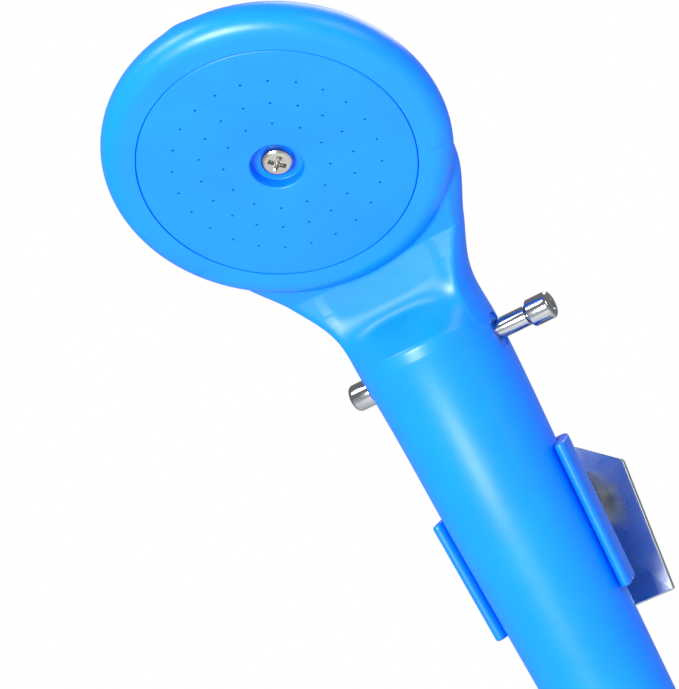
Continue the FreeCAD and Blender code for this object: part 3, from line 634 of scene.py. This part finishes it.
@dataclass
class Shell:
    """The moulded body: a tapered handle, a bent neck with a valley in front, and a round head.

    All sizes are in millimetres. The skin is point(station, angle): from a point of the centre line a
    ray runs out in the station's plane and stops where the body's field is nought. The field is
    below nought inside, and joins the stem and the head with a small round in front and a large
    one behind.
    """

    place: Frame
    low: float = 11.0
    low_radius: float = 11.5
    top: float = 97.0
    top_radius: float = 14.5
    low_round: float = 0.8
    bend: float = 33.6
    face_out: float = 26.95
    face_up: float = 141.1
    head_radius: float = 32.4
    rim_round: float = 3.85
    head_wall: float = 4.0
    dome: float = 12.5
    neck_wide: tuple[float, ...] = (0.5, 5.4, 10.9, 10.0)
    neck_deep: tuple[float, ...] = (-1.5, -3.8, -7.5, -9.2)
    neck_back: tuple[float, ...] = (-1.5, -4.0, -9.5, -12.5)
    neck_up: tuple[float, ...] = (10.0, 20.0, 29.5, 37.7)
    step: float = 2.2
    valley_top: tuple[float, float] = (-7.7, 116.1)
    valley: tuple[float, float] = (-6.8, 107.0)
    ramp_low: float = 99.5
    valley_round: float = 1.8
    crest_round: float = 0.4
    front_round: float = 0.7
    back_round: float = 6.0
    reach: float = 48.0

    def face(self) -> Frame:
        """Give the spray face's frame: third axis out of the face, second to the head's top."""
        return self.place.moved(0, -self.face_out, self.face_up).tipped(90 + self.bend)

    def stations(self) -> dict[str, Array]:
        """Work out the centre line and the stem's section at every station.

        Returns:
            Arrays over the stations: back and up of the centre, tilt in radians, the stem's half
            width and half depth, and how the rays are spread.
        """
        bend = math.radians(self.bend)
        middle = self.low_radius + (60.0 - self.low) * self.slope
        start = [self.low, 60.0, self.top]
        radii = [self.low_radius, middle, self.top_radius]
        stations = np.array(start + [self.top + run for run in (10.0, 20.5, 30.7, 39.8)])
        back = np.array([0.0, 0.0, 0.0, *self.neck_back])
        up = np.array(start + [self.top + rise for rise in self.neck_up])
        tilt = bend * np.array([0, 0, 0, 1 / 12, 0.45, 0.85, 1])
        wide = np.array(radii + [self.top_radius + more for more in self.neck_wide])
        deep = np.array(radii + [self.top_radius + more for more in self.neck_deep])
        where = np.concatenate([
            self.low + self.low_round * np.linspace(0, 1, 6) ** 2,
            np.linspace(self.low + 2, 92, 40), np.linspace(92.5, 125, 150)[1:],
            np.linspace(125, stations[-1], 34)[1:]])
        stem = {name: through(where, stations, values) for name, values in
                (("back", back), ("up", up), ("tilt", tilt), ("wide", wide), ("deep", deep))}
        straight = where < self.top
        cone = self.low_radius + (where - self.low) * self.slope
        bevel = np.clip(1 - (where - self.low) / self.low_round, 0, 1)
        cone = cone - self.low_round * (1 - np.sqrt(1 - bevel ** 2))
        for name in ("wide", "deep"):
            stem[name] = np.where(straight, cone, stem[name])
        stem["tilt"] = np.where(straight, 0.0, stem["tilt"])
        normal, rise = self.face_axes()
        last = np.array([stem["back"][-1] + self.face_out, stem["up"][-1] - self.face_up])
        start_rise, start_deep = float(last @ rise), float(last @ normal)
        turn = np.linspace(math.asin(start_rise / self.head_radius), math.radians(89.6), 92)[1:]
        height = self.head_radius * np.sin(turn)
        share = (height - start_rise) / (self.head_radius - start_rise)
        depth = start_deep + share * (-(self.rim_round + self.head_wall) / 2 - start_deep)
        centre = (np.array([-self.face_out, self.face_up])[None] + height[:, None] * rise
                  + depth[:, None] * normal)
        fade = np.clip(1 - share * 4, 0.02, 1)
        head = {"back": centre[:, 0], "up": centre[:, 1], "tilt": np.full(len(turn), bend),
                "wide": stem["wide"][-1] * fade, "deep": stem["deep"][-1] * fade}
        spread_wide = np.concatenate([stem["wide"], self.head_radius * np.cos(turn) + 0.6])
        spread_deep = np.concatenate([stem["deep"], (self.head_wall + self.dome * np.cos(turn)) / 2])
        made = {name: np.concatenate([stem[name], head[name]]) for name in stem}
        made["spread_wide"], made["spread_deep"] = spread_wide, spread_deep
        return made

    @property
    def slope(self) -> float:
        """Growth of the handle's radius for each millimetre up."""
        return (self.top_radius - self.low_radius) / (self.top - self.low)

    def face_axes(self) -> tuple[Array, Array]:
        """Give the face's normal and its upward direction as back and up."""
        bend = math.radians(self.bend)
        return (np.array([-math.cos(bend), -math.sin(bend)]), np.array([-math.sin(bend), math.cos(bend)]))

    def head_field(self, across: Array, rise: Array, normal: Array) -> Array:
        """Measure the distance to the head: a disc with a rounded rim, a short wall and a low dome."""
        radius = np.hypot(across, rise)
        side = radius - (self.head_radius - self.rim_round)
        front = normal + self.rim_round
        disc = (np.hypot(np.maximum(side, 0), np.maximum(front, 0))
                + np.minimum(np.maximum(side, front), 0) - self.rim_round)
        below = normal + self.head_wall
        ratio = np.maximum(np.hypot(radius / self.head_radius, below / self.dome), 1e-6)
        dome = np.hypot(radius, below) * (1 - 1 / ratio)
        return np.where(below > 0, disc, dome)

    def relief_field(self, across: Array, back: Array, up: Array, normal: Array) -> Array:
        """Measure the distance to what is cut away in front of the neck.

        The bed is flat. Below it a ramp runs from the bed's straight lower line out to the handle's
        round front, so its slope is greatest in the middle and nought at the two sides.
        """
        along = np.array(self.valley) - np.array(self.valley_top)
        along = along / np.linalg.norm(along)
        bed = ((up - self.valley[1]) * along[0] - (back - self.valley[0]) * along[1])
        foot = np.sqrt(np.maximum(self.top_radius ** 2 - across ** 2, self.valley[0] ** 2))
        slope = (foot + self.valley[0]) / (self.valley[1] - self.ramp_low)
        ramp = (back - self.valley[0] + slope * (self.valley[1] - up)) / np.hypot(1, slope)
        return np.maximum(blend_high(bed, ramp, self.valley_round), -self.step - normal)

    def field(self, across: Array, back: Array, up: Array, wide: Array, deep: Array,
              forward: Array) -> Array:
        """Measure the body's field at points; forward is the distance in front of the centre line."""
        normal_axis, rise_axis = self.face_axes()
        out_back, out_up = back + self.face_out, up - self.face_up
        normal = out_back * normal_axis[0] + out_up * normal_axis[1]
        rise = out_back * rise_axis[0] + out_up * rise_axis[1]
        ratio = np.maximum(np.hypot(across / wide, forward / deep), 1e-6)
        stem = np.hypot(across, forward) * (1 - 1 / ratio)
        stem = blend_high(stem, -self.relief_field(across, back, up, normal), self.crest_round)
        behind = np.clip((-normal - self.rim_round) / self.head_wall, 0, 1)
        width = self.front_round + (self.back_round - self.front_round) * behind
        return blend_low(stem, self.head_field(across, rise, normal), width)

    def skin_points(self) -> Array:
        """Send out the rays and find where each one leaves the body, by halving the last step."""
        line = {name: values[:, None] for name, values in self.stations().items()}
        turn = np.linspace(0, 2 * np.pi, Turning.BROAD.value, endpoint=False)[None, :]
        forward = line["spread_deep"] * np.cos(turn)
        across = line["spread_wide"] * np.sin(turn)
        length = np.hypot(forward, across)
        forward, across = forward / length, across / length

        def spot(run: Array) -> tuple[Array, Array, Array]:
            return (run * across, line["back"] - run * forward * np.cos(line["tilt"]),
                    line["up"] - run * forward * np.sin(line["tilt"]))

        def inside(run: Array) -> Array:
            return self.field(*spot(run), line["wide"], line["deep"], run * forward) < 0

        near = np.zeros_like(forward)
        pace = self.reach / 64
        for step in range(1, 65):
            run = np.full_like(forward, step * pace)
            near = np.where(inside(run), run, near)
        far = near + pace
        for _ in range(22):
            middle = (near + far) / 2
            held = inside(middle)
            near, far = np.where(held, middle, near), np.where(held, far, middle)
        return np.stack(spot(near), axis=-1)

    def build(self, holes: Sequence[Patch]) -> bpy.types.Object:
        """Make the shell and cut its holes."""
        body = solid("spray_body", skin(self.place.place(self.skin_points())), sharp=40)
        for index, hole in enumerate(holes):
            combine(body, Cut.AWAY, solid(f"hole_{index}", hole), sharp=40)
        return body


@dataclass
class SprayHead:
    """The face plate with its jets, its screw, and the seat in the shell that takes them."""

    face: Frame
    plate_radius: float = 25.75
    plate_thick: float = 2.6
    edge: float = 0.3
    hub_radius: float = 7.2
    hub_deep: float = 5.2
    sink_radius: float = 4.95
    sink_deep: float = 2.6
    bore: float = 1.7
    jet_radius: float = 0.2
    rings: tuple[tuple[float, int], ...] = ((9.8, 12), (14.3, 18), (19.2, 24))
    seat_radius: float = 25.85
    seat_deep: float = 3.6
    head_radius: float = 3.0
    head_high: float = 1.9
    shank: float = 1.5
    screw_long: float = 9.0
    clear_deep: float = 14.0
    recess_arm: float = 1.75
    recess_half: float = 0.48
    recess_turn: float = 38.0

    def seat(self) -> Patch:
        """Give the hole for the plate, its hub and the screw, with a small lead at the mouth."""
        wide, lead, hub = self.seat_radius, 0.12, self.hub_radius + 0.3
        return turned(rounded([
            (0, -self.clear_deep, 0), (hub, -self.clear_deep, 0), (hub, -self.seat_deep, 0),
            (wide, -self.seat_deep, 0), (wide, -lead, 0.3), (wide + lead, lead * 0.6, 0),
            (wide + lead, 1, 0), (0, 1, 0)], closed=False)[1:-1], self.face, Turning.SMOOTH)

    def plate(self) -> bpy.types.Object:
        """Turn the plate and cut its three rings of jets, each with a small lead."""
        deep = -self.hub_deep
        profile = rounded([
            (self.bore, deep, 0.1), (self.hub_radius, deep, 0.4), (self.hub_radius, -self.plate_thick, 0.3),
            (self.plate_radius, -self.plate_thick, self.edge), (self.plate_radius, 0, self.edge),
            (self.sink_radius, 0, 0.35), (self.sink_radius, -self.sink_deep, 0.25),
            (self.bore, -self.sink_deep, 0.1)])
        plate = solid("face_plate", turned(profile, self.face, Turning.BROAD, ring=True))
        angles = np.concatenate([np.arange(count) / count for _, count in self.rings]) * 2 * np.pi
        reach = np.repeat([radius for radius, _ in self.rings], [count for _, count in self.rings])
        jet = self.jet_radius
        drill = np.array([(0.01, -4), (jet, -4), (jet, -jet * 0.5), (jet * 1.35, 0.0), (jet * 1.4, 0.4),
                          (0.01, 0.4)])
        drills = [turned(drill, self.face.moved(r * math.cos(a), r * math.sin(a)), Turning.FINE)
                  for r, a in zip(reach, angles)]
        return combine(plate, Cut.AWAY, solid("drills", *drills))

    def screw(self) -> bpy.types.Object:
        """Turn the pan-head screw and sink its cross recess, which narrows as it goes down."""
        seat, top = -self.sink_deep, -self.sink_deep + self.head_high
        wide = self.head_radius
        profile = rounded([
            (0, seat - self.screw_long, 0), (self.shank - 0.5, seat - self.screw_long, 0.2),
            (self.shank, seat - self.screw_long + 0.6, 0.2), (self.shank, seat, 0.1), (wide, seat, 0.15),
            (wide, top - 0.5, 0.5), (wide * 0.8, top - 0.1, 0.8), (0, top, 0)], closed=False, steps=8)
        screw = solid("pan_head_screw", turned(profile[1:-1], self.face, Turning.ROUND))
        arm, half = self.recess_arm, self.recess_half
        cross = rounded([
            (arm, half, 0.15), (half, half, 0.25), (half, arm, 0.15), (-half, arm, 0.15),
            (-half, half, 0.25), (-arm, half, 0.15), (-arm, -half, 0.15), (-half, -half, 0.25),
            (-half, -arm, 0.15), (half, -arm, 0.15), (half, -half, 0.25), (arm, -half, 0.15)])
        levels = np.array([(top + 0.5, 1.12), (top - 0.1, 1.0), (top - 1.1, 0.55), (top - 1.4, 0.2)])
        rows = np.concatenate([
            cross[None] * levels[:, 1, None, None],
            np.broadcast_to(levels[:, 0, None, None], (len(levels), len(cross), 1))], axis=2)
        turn = math.radians(self.recess_turn)
        spin = np.array([[math.cos(turn), math.sin(turn), 0], [-math.sin(turn), math.cos(turn), 0],
                         [0, 0, 1]])
        return combine(screw, Cut.AWAY, solid("driver", skin(self.face.place(rows @ spin))))


@dataclass
class StopValve:
    """The push rod through the neck, with its two knobs."""

    place: Frame
    up: float = 94.4
    bore: float = 3.6
    rod: float = 2.0
    waist: float = 1.2
    waist_half: float = 2.3
    groove: float = 1.3
    groove_half: float = 0.5
    pitch: float = 4.0
    knob: float = 2.75
    left_in: float = 14.3
    left_out: float = 18.9
    right_in: float = 21.3
    right_out: float = 26.1

    def axis(self) -> Frame:
        """Give the frame whose third axis runs along the rod to the right."""
        return self.place.moved(0, 0, self.up).sideways()

    def bores(self) -> Patch:
        """Give the cross bore as a hole right through the neck."""
        profile = np.array([(self.bore, -30), (self.bore, 30)])
        return turned(profile, self.axis(), Turning.ROUND)

    def rod_piece(self) -> bpy.types.Object:
        """Turn the rod: left knob, seal grooves, waist and the plain end that the right knob takes."""
        edge = 0.06
        corners = [(0, -self.left_out, 0), (self.knob, -self.left_out, 0.95),
                   (self.knob, -self.left_in, 0.3), (self.rod, -self.left_in, edge)]
        for middle, half, deep in ((-self.pitch, self.groove_half, self.groove),
                                   (0, self.waist_half, self.waist),
                                   (self.pitch, self.groove_half, self.groove),
                                   (2 * self.pitch, self.groove_half, self.groove)):
            corners += [(self.rod, middle - half, edge), (deep, middle - half, edge),
                        (deep, middle + half, edge), (self.rod, middle + half, edge)]
        corners += [(self.rod, self.right_in - 0.5, 0.15), (self.groove, self.right_in - 0.5, edge),
                    (self.groove, self.right_out - 1, 0), (0, self.right_out - 1, 0)]
        profile = rounded(corners, closed=False)
        return solid("push_rod", turned(profile[1:-1], self.axis(), Turning.ROUND))

    def knob_piece(self) -> bpy.types.Object:
        """Turn the right knob with its rounded shoulder and slightly dished end."""
        wide, out, near = self.knob, self.right_out, self.right_in
        profile = rounded([
            (self.groove, near, 0.1), (wide, near, 0.45), (wide, out, 0.7), (wide * 0.5, out, 0.2),
            (wide * 0.35, out - 0.25, 0.2), (0.02, out - 0.25, 0), (0.02, out - 1, 0),
            (self.groove, out - 1, 0.05)], steps=7)
        return solid("push_knob", turned(profile, self.axis(), Turning.ROUND, ring=True))


@dataclass
class HoseEnd:
    """The chromed nipple with its outside pipe thread, 14 turns to the inch."""

    place: Frame
    thread_radius: float = 10.478
    thread_long: float = 9.5
    pitch: float = 1.814
    thread_deep: float = 1.0
    flange: float = 11.4
    handle_low: float = 11.0
    spigot: float = 8.0
    spigot_top: float = 26.0
    bore: float = 5.0
    mouth: float = 7.4
    mouth_deep: float = 3.2

    def socket(self) -> Patch:
        """Give the hole in the handle that takes the spigot."""
        profile = np.array([(self.spigot, 0), (self.spigot, self.spigot_top)])
        return turned(profile, self.place, Turning.ROUND)

    def thread(self, radius: Array, height: Array, angle: Array) -> Array:
        """Sink a rounded V that climbs one pitch each turn, fading out at both ends of the thread."""
        phase = height / self.pitch - angle / (2 * np.pi)
        wave = 0.5 - 0.5 * np.cos(2 * np.pi * phase)
        ends = np.clip((height - 0.1) / 0.9, 0, 1) * np.clip((self.thread_long - 0.6 - height) / 0.9, 0, 1)
        outside = radius > self.mouth + 1.5
        return np.where(outside, -self.thread_deep * wave * ends, 0)

    def build(self) -> bpy.types.Object:
        """Turn the nipple, with enough rows along the thread to show its flanks."""
        start = rounded([(self.mouth, 0, 0), (self.thread_radius - 0.8, 0, 0.1),
                         (self.thread_radius, 0.8, 0.1)], closed=False)
        rows = np.linspace(0.95, self.thread_long - 0.3, 84)
        thread = np.stack([np.full_like(rows, self.thread_radius), rows], axis=1)
        rest = rounded([
            (self.thread_radius, self.thread_long, 0.2), (self.flange, self.thread_long, 0.3),
            (self.flange, self.handle_low - 0.05, 0.2), (self.spigot, self.handle_low - 0.05, 0),
            (self.spigot, self.spigot_top, 0.5), (self.bore, self.spigot_top, 0.3),
            (self.bore, self.mouth_deep, 0.1), (self.mouth, self.mouth_deep, 0.2),
            (self.mouth, 0.3, 0)], closed=False)
        profile = np.vstack([start[1:], thread, rest])
        nipple = turned(profile, self.place, Turning.SMOOTH, ring=True, swell=self.thread)
        return solid("hose_nipple", nipple, sharp=45)


# ---------------------------------------------------------------- the cradle


@dataclass
class Clip:
    """The open tapered collar that holds the handle, with its pivot lug behind."""

    place: Frame
    handle: Shell
    low: float = 39.5
    top: float = 70.0
    gap: float = 0.2
    wall: float = 2.3
    lip_back: float = -2.0
    flare: float = 0.25
    slant: float = 0.155
    edge: float = 0.5
    lug_half: float = 4.2
    lug_root: float = 9.0
    pivot_back: float = 22.3
    pivot_up: float = 54.75
    pivot_radius: float = 5.5
    bore: float = 2.05

    def collar(self) -> Patch:
        """Work out the collar as point(height, place round the wall's section).

        The section runs along the inside from lip to lip and back along the outside, with half
        rounds at the lips. At both ends the wall draws in to a quarter round. The upper end slants down
    from the right lip to the left one, and all heights are drawn down with it.
        """
        count, nose = 72, 10
        steps = np.linspace(0, np.pi / 2, 6)
        draw = self.edge * (1 - np.sin(steps))
        rise = self.edge * (1 - np.cos(steps))
        heights = np.concatenate([[self.low], self.low + rise, np.linspace(self.low + 1, self.top - 1, 24),
                                  (self.top - rise)[::-1], [self.top]])
        draws = np.concatenate([[self.wall / 2], draw, np.zeros(24), draw[::-1], [self.wall / 2]])
        def inner(height: Array) -> Array:
            return self.handle.low_radius + (height - self.handle.low) * self.handle.slope + self.gap
        middle = (inner(heights) + self.wall / 2)[:, None]
        half = (self.wall / 2 - draws)[:, None]
        reach = np.arcsin(self.lip_back / middle[:, 0])[:, None] * -1
        span = np.linspace(-1, 1, count)[None, :]
        sweep = (np.pi / 2 + reach) * span
        tip = np.linspace(0, np.pi, nose + 2)[1:-1][None, :]
        ends = (np.pi / 2 + reach)
        angle = np.concatenate([sweep, ends + half * np.sin(tip) / middle, sweep[:, ::-1],
                                -ends - half * np.sin(tip) / middle], axis=1)
        inward = np.ones((len(heights), count))
        offset = np.concatenate([-half * inward, -half * np.cos(tip), half * inward,
                                 half * np.cos(tip)], axis=1)
        lift = np.clip((np.abs(angle) / ends - 0.86) / 0.14, 0, 1.2) ** 2 * self.flare
        radius = middle + offset + lift
        drop = self.slant * np.maximum(self.handle.top_radius - radius * np.sin(angle), 0)
        height = heights[:, None] - drop * (heights[:, None] - self.low) / (self.top - self.low)
        radius = radius + inner(height) - inner(heights[:, None])
        points = np.stack([radius * np.sin(angle), radius * np.cos(angle), height], axis=-1)
        return skin(self.place.place(points))

    def lug(self) -> Patch:
        """Carry the lug's outline, a wedge that ends in a round, across between the ears."""
        side = self.place.sideways()
        root, back, up = 13.9, self.pivot_back, self.pivot_up
        turn = np.linspace(-np.pi / 2, np.pi / 2, 28)
        nose = np.stack([back + self.pivot_radius * np.cos(turn),
                         up + self.pivot_radius * np.sin(turn)], axis=1)
        root_points = np.array([(root, up + self.lug_root), (root, up - self.lug_root)])
        outline = np.vstack([nose, root_points])
        return slab(outline, -self.lug_half, self.lug_half, 0.4, side)

    def build(self) -> bpy.types.Object:
        """Make the collar, add the lug and bore it for the pivot bolt."""
        clip = solid("cradle_clip", self.collar())
        combine(clip, Cut.ON, solid("lug", self.lug()))
        pivot = self.place.moved(0, self.pivot_back, self.pivot_up).sideways()
        drill = np.array([(self.bore, -9), (self.bore, 9)])
        return combine(clip, Cut.AWAY, solid("drill", turned(drill, pivot, Turning.ROUND)))


@dataclass
class WallMount:
    """The bent wall plate with its two ears, and the pivot's bolt, nut and washers."""

    pivot: Array = field(default_factory=lambda: np.array(joint("cradle_tilt")["pos_m"]))
    half: float = 14.0
    low: float = 16.5
    high: float = 18.5
    corner_x: float = 5.5
    corner_z: float = 12.0
    thick: float = 1.5
    ear_in: float = 5.0
    ear_radius: float = 5.5
    hole_at: float = 12.5
    hole: float = 2.1
    bolt: float = 1.98
    bolt_head: float = 3.6
    head_thick: float = 2.4
    bolt_end: float = 13.2
    nut_in: float = 7.45
    nut_thick: float = 5.0
    nut_radius: float = 5.5
    flutes: int = 18
    flute_deep: float = 0.42
    washer_thick: float = 0.7
    washer_radius: float = 4.6
    washer_edge: float = 0.15

    def wall(self) -> Frame:
        """Give the plate's frame: third axis out of the wall."""
        return Frame(np.zeros(3), np.array([[1.0, 0, 0], [0, 0, 1.0], [0, -1.0, 0]]))

    def axis(self) -> Frame:
        """Give the pivot's frame, with its third axis along the bolt to the right."""
        return Frame(self.pivot, np.eye(3)).sideways()

    def bracket(self) -> bpy.types.Object:
        """Make the plate with rounded corners, fold out the ears and drill the holes."""
        face = self.wall()
        outline = rounded([
            (-self.half, -self.low, 1.2), (self.half, -self.low, 0.4), (self.half, self.corner_z, 1.5),
            (self.corner_x, self.high, 2.0), (-self.corner_x, self.high, 2.0),
            (-self.half, self.corner_z, 1.5)], steps=6)
        bracket = solid("wall_plate", slab(outline, 0, self.thick, 0.25, face))
        out, rise = -self.pivot[1] / MM, self.pivot[2] / MM
        turn = np.linspace(-np.pi / 2, np.pi / 2, 28)
        nose = np.stack([-out - self.ear_radius * np.cos(turn),
                         rise - self.ear_radius * np.sin(turn)], axis=1)
        ear = np.vstack([nose, [(-0.4, rise - self.ear_radius), (-0.4, rise + self.ear_radius)]])
        side = Frame(np.zeros(3), np.eye(3)).sideways()
        for index, low in enumerate((self.ear_in, -self.ear_in - self.thick)):
            combine(bracket, Cut.ON, solid(f"ear_{index}", slab(ear[::-1], low, low + self.thick, 0.2, side)))
        sink = self.hole + 1.2
        drill = rounded([(self.hole, -1, 0), (self.hole, 0.6, 0), (sink, self.thick + 0.1, 0),
                         (sink, self.thick + 1, 0)], closed=False)
        for index, height in enumerate((-self.hole_at, self.hole_at)):
            combine(bracket, Cut.AWAY, solid(f"wall_drill_{index}",
                                             turned(drill, face.moved(0, height), Turning.ROUND)))
        bore = np.array([(self.bolt + 0.05, -12), (self.bolt + 0.05, 12)])
        return combine(bracket, Cut.AWAY, solid("pivot_drill", turned(bore, self.axis(), Turning.ROUND)))

    def bolt_piece(self) -> bpy.types.Object:
        """Turn the bolt and mill the slot across its low round head."""
        outside = self.ear_in + self.thick
        top = outside + self.head_thick
        profile = rounded([
            (0, -self.bolt_end, 0), (self.bolt, -self.bolt_end, 0.4), (self.bolt, outside, 0.05),
            (self.bolt_head, outside, 0.15), (self.bolt_head, top, 1.1), (0, top, 0)],
            closed=False, steps=8)
        bolt = solid("clamp_bolt", turned(profile[1:-1], self.axis(), Turning.ROUND))
        slot = np.array([(-5, -0.4), (5, -0.4), (5, 0.4), (-5, 0.4)])
        return combine(bolt, Cut.AWAY, solid("mill", slab(slot, top - 1.1, top + 1, 0.01, self.axis())))

    def flute(self, radius: Array, height: Array, angle: Array) -> Array:
        """Scallop the nut's rim: the radius drops by a raised cosine, as many times as there are flutes."""
        _ = height
        outside = np.clip((radius - self.nut_radius * 0.7) / (self.nut_radius * 0.2), 0, 1)
        scoop = (0.5 + 0.5 * np.cos(self.flutes * angle)) ** 2
        return -self.flute_deep * scoop * outside

    def nut(self) -> bpy.types.Object:
        """Turn the thumb nut: a fluted rim with a raised collar on the outer side."""
        near, far = -self.nut_in, -self.nut_in - self.nut_thick
        inner = self.bolt + 0.05
        profile = rounded([
            (inner, far, 0.25), (self.nut_radius * 0.62, far, 0.3), (self.nut_radius * 0.66, far + 0.7, 0.2),
            (self.nut_radius, far + 0.9, 0.6), (self.nut_radius, near - 0.2, 0.5),
            (inner, near, 0.2)], steps=6)
        return solid("thumb_nut", turned(profile, self.axis(), Turning.SMOOTH, True, self.flute), sharp=50)

    def washers(self) -> bpy.types.Object:
        """Turn the two fibre washers beside the lug."""
        thick = self.washer_thick
        profiles = (tube_profile(low, low + thick, self.bolt, self.washer_radius, self.washer_edge)
                    for low in (self.ear_in - thick, -self.ear_in))
        return solid("fibre_washers", *(turned(profile, self.axis(), Turning.ROUND, ring=True)
                                        for profile in profiles))


# ---------------------------------------------------------------- the studio


@dataclass
class Studio:
    """Floor, soft lights, backdrop and camera."""

    face: Frame
    azimuth: float = 22.68
    elevation: float = -15.47
    roll: float = 20.2
    distance: float = 450.1
    aside: float = -11.403
    above: float = 32.41
    lens: float = 129.0
    floor_below: float = 0.6
    floor_half: float = 3.0
    fill: float = 0.75
    mirrored: float = 0.3
    lamps: tuple[tuple[str, tuple[float, float, float], float, float], ...] = (
        ("key", (-0.05, -0.78, -0.24), 0.26, 13.0),
        ("rim", (-0.30, -0.60, 0.50), 0.3, 4.5),
        ("side", (0.8, -0.35, 0.1), 0.4, 2.0),
        ("back", (0.2, 0.5, 0.6), 0.5, 3.0),
    )

    def camera(self) -> None:
        """Stand the camera off the spray face: distance back, and the face a little off the axis."""
        a, e, r = (math.radians(v) for v in (self.azimuth, self.elevation, self.roll))
        back = np.array([math.sin(a) * math.cos(e), -math.cos(a) * math.cos(e), math.sin(e)])
        level = np.array([math.cos(a), math.sin(a), 0.0])
        lift = np.cross(back, level)
        right = level * math.cos(r) - lift * math.sin(r)
        up = level * math.sin(r) + lift * math.cos(r)
        place = self.face.origin - (right * self.aside + up * self.above - back * self.distance) * MM
        data = bpy.data.cameras.new("camera")
        data.lens, data.sensor_width = self.lens, 36.0
        data.clip_start, data.clip_end = 0.01, 20.0
        camera = bpy.data.objects.new("camera", data)
        bpy.context.scene.collection.objects.link(camera)
        matrix = np.eye(4)
        matrix[:3, 0], matrix[:3, 1], matrix[:3, 2], matrix[:3, 3] = right, up, back, place
        camera.matrix_world = Matrix(matrix.tolist())
        bpy.context.scene.camera = camera

    def soft_light(self, name: str, offset: tuple[float, float, float], size: float, power: float) -> None:
        """Hang a square soft light that looks at the neck.

        Args:
            name: Name of the light.
            offset: Its place from the spray face, in metres.
            size: Side of the square, in metres.
            power: Its power, in watts.
        """
        data = bpy.data.lights.new(name, "AREA")
        data.size, data.energy = size, power
        light = bpy.data.objects.new(name, data)
        bpy.context.scene.collection.objects.link(light)
        light.location = Vector(self.face.origin) + Vector(offset)
        aim = Vector(self.face.at(0, -25, -10)) - light.location
        light.rotation_euler = aim.to_track_quat("-Z", "Y").to_euler()

    def floor(self) -> None:
        """Lay the pale floor well below the object."""
        low = CAD_BOX[0].z - self.floor_below
        half = self.floor_half
        corners = np.array([(-half, -half, low), (half, -half, low), (half, half, low), (-half, half, low)])
        mesh = bpy.data.meshes.new("floor")
        mesh.from_pydata(corners, [], [[0, 1, 2, 3]])
        floor = bpy.data.objects.new("floor", mesh)
        bpy.context.scene.collection.objects.link(floor)
        mesh.materials.append(Finish("pale_floor", "#eeeeec", "#e9e9e7", 0.6, 0.7, grain_mm=4,
                                     grain_high=0.05).make())

    def sky(self) -> None:
        """Surround the scene with soft light, dimmer in reflections, behind a plain white background."""
        world = bpy.data.worlds.new("studio")
        bpy.context.scene.world = world
        world.use_nodes = True
        tree = world.node_tree
        light = tree.nodes["Background"]
        light.inputs["Color"].default_value = linear("#f4f8ff")
        light.inputs["Strength"].default_value = self.fill
        plain = add(tree, "ShaderNodeBackground", Color=(1, 1, 1, 1), Strength=1.0)
        dim = add(tree, "ShaderNodeBackground", Color=(1, 1, 1, 1), Strength=self.mirrored)
        path = add(tree, "ShaderNodeLightPath").outputs
        lit = add(tree, "ShaderNodeMixShader", i0=path["Is Glossy Ray"], i1=light.outputs[0],
                  i2=dim.outputs[0])
        mixed = add(tree, "ShaderNodeMixShader", i0=path["Is Camera Ray"], i1=lit.outputs[0],
                    i2=plain.outputs[0])
        tree.links.new(mixed.outputs[0], tree.nodes["World Output"].inputs["Surface"])

    def build(self) -> None:
        """Set the whole studio up."""
        bpy.context.scene.view_settings.view_transform = "Standard"
        self.camera()
        self.floor()
        self.sky()
        for lamp in self.lamps:
            self.soft_light(*lamp)


def main() -> None:
    """Build the object's pieces in order, then the studio."""
    logging.basicConfig(level=logging.INFO, format="%(name)s: %(message)s")
    place = handset_frame(thread_middle=5.15)
    shell = Shell(place)
    head, valve, hose = SprayHead(shell.face()), StopValve(place), HoseEnd(place)
    stands_for(shell.build([head.seat(), valve.bores(), hose.socket()]), "handset_shell")
    stands_for(head.plate(), "spray_plate")
    stands_for(head.screw(), "plate_screw")
    stands_for(valve.rod_piece(), "stop_rod")
    stands_for(valve.knob_piece(), "rod_knob")
    stands_for(hose.build(), "inlet_nipple")
    stands_for(Clip(place, shell).build(), "holder_clip")
    wall = WallMount()
    stands_for(wall.bracket(), "wall_bracket")
    stands_for(wall.bolt_piece(), "pivot_bolt")
    stands_for(wall.nut(), "pivot_nut")
    stands_for(wall.washers(), "friction_washers")
    dress("lock_washer", "plate_seal", "screw_insert", "valve_sleeve", "sleeve_seals", "rod_seals",
          "rod_bush_left", "rod_bush_right", "nipple_seal", "inlet_strainer")
    Studio(shell.face()).build()


if __name__ == "__main__":
    main()
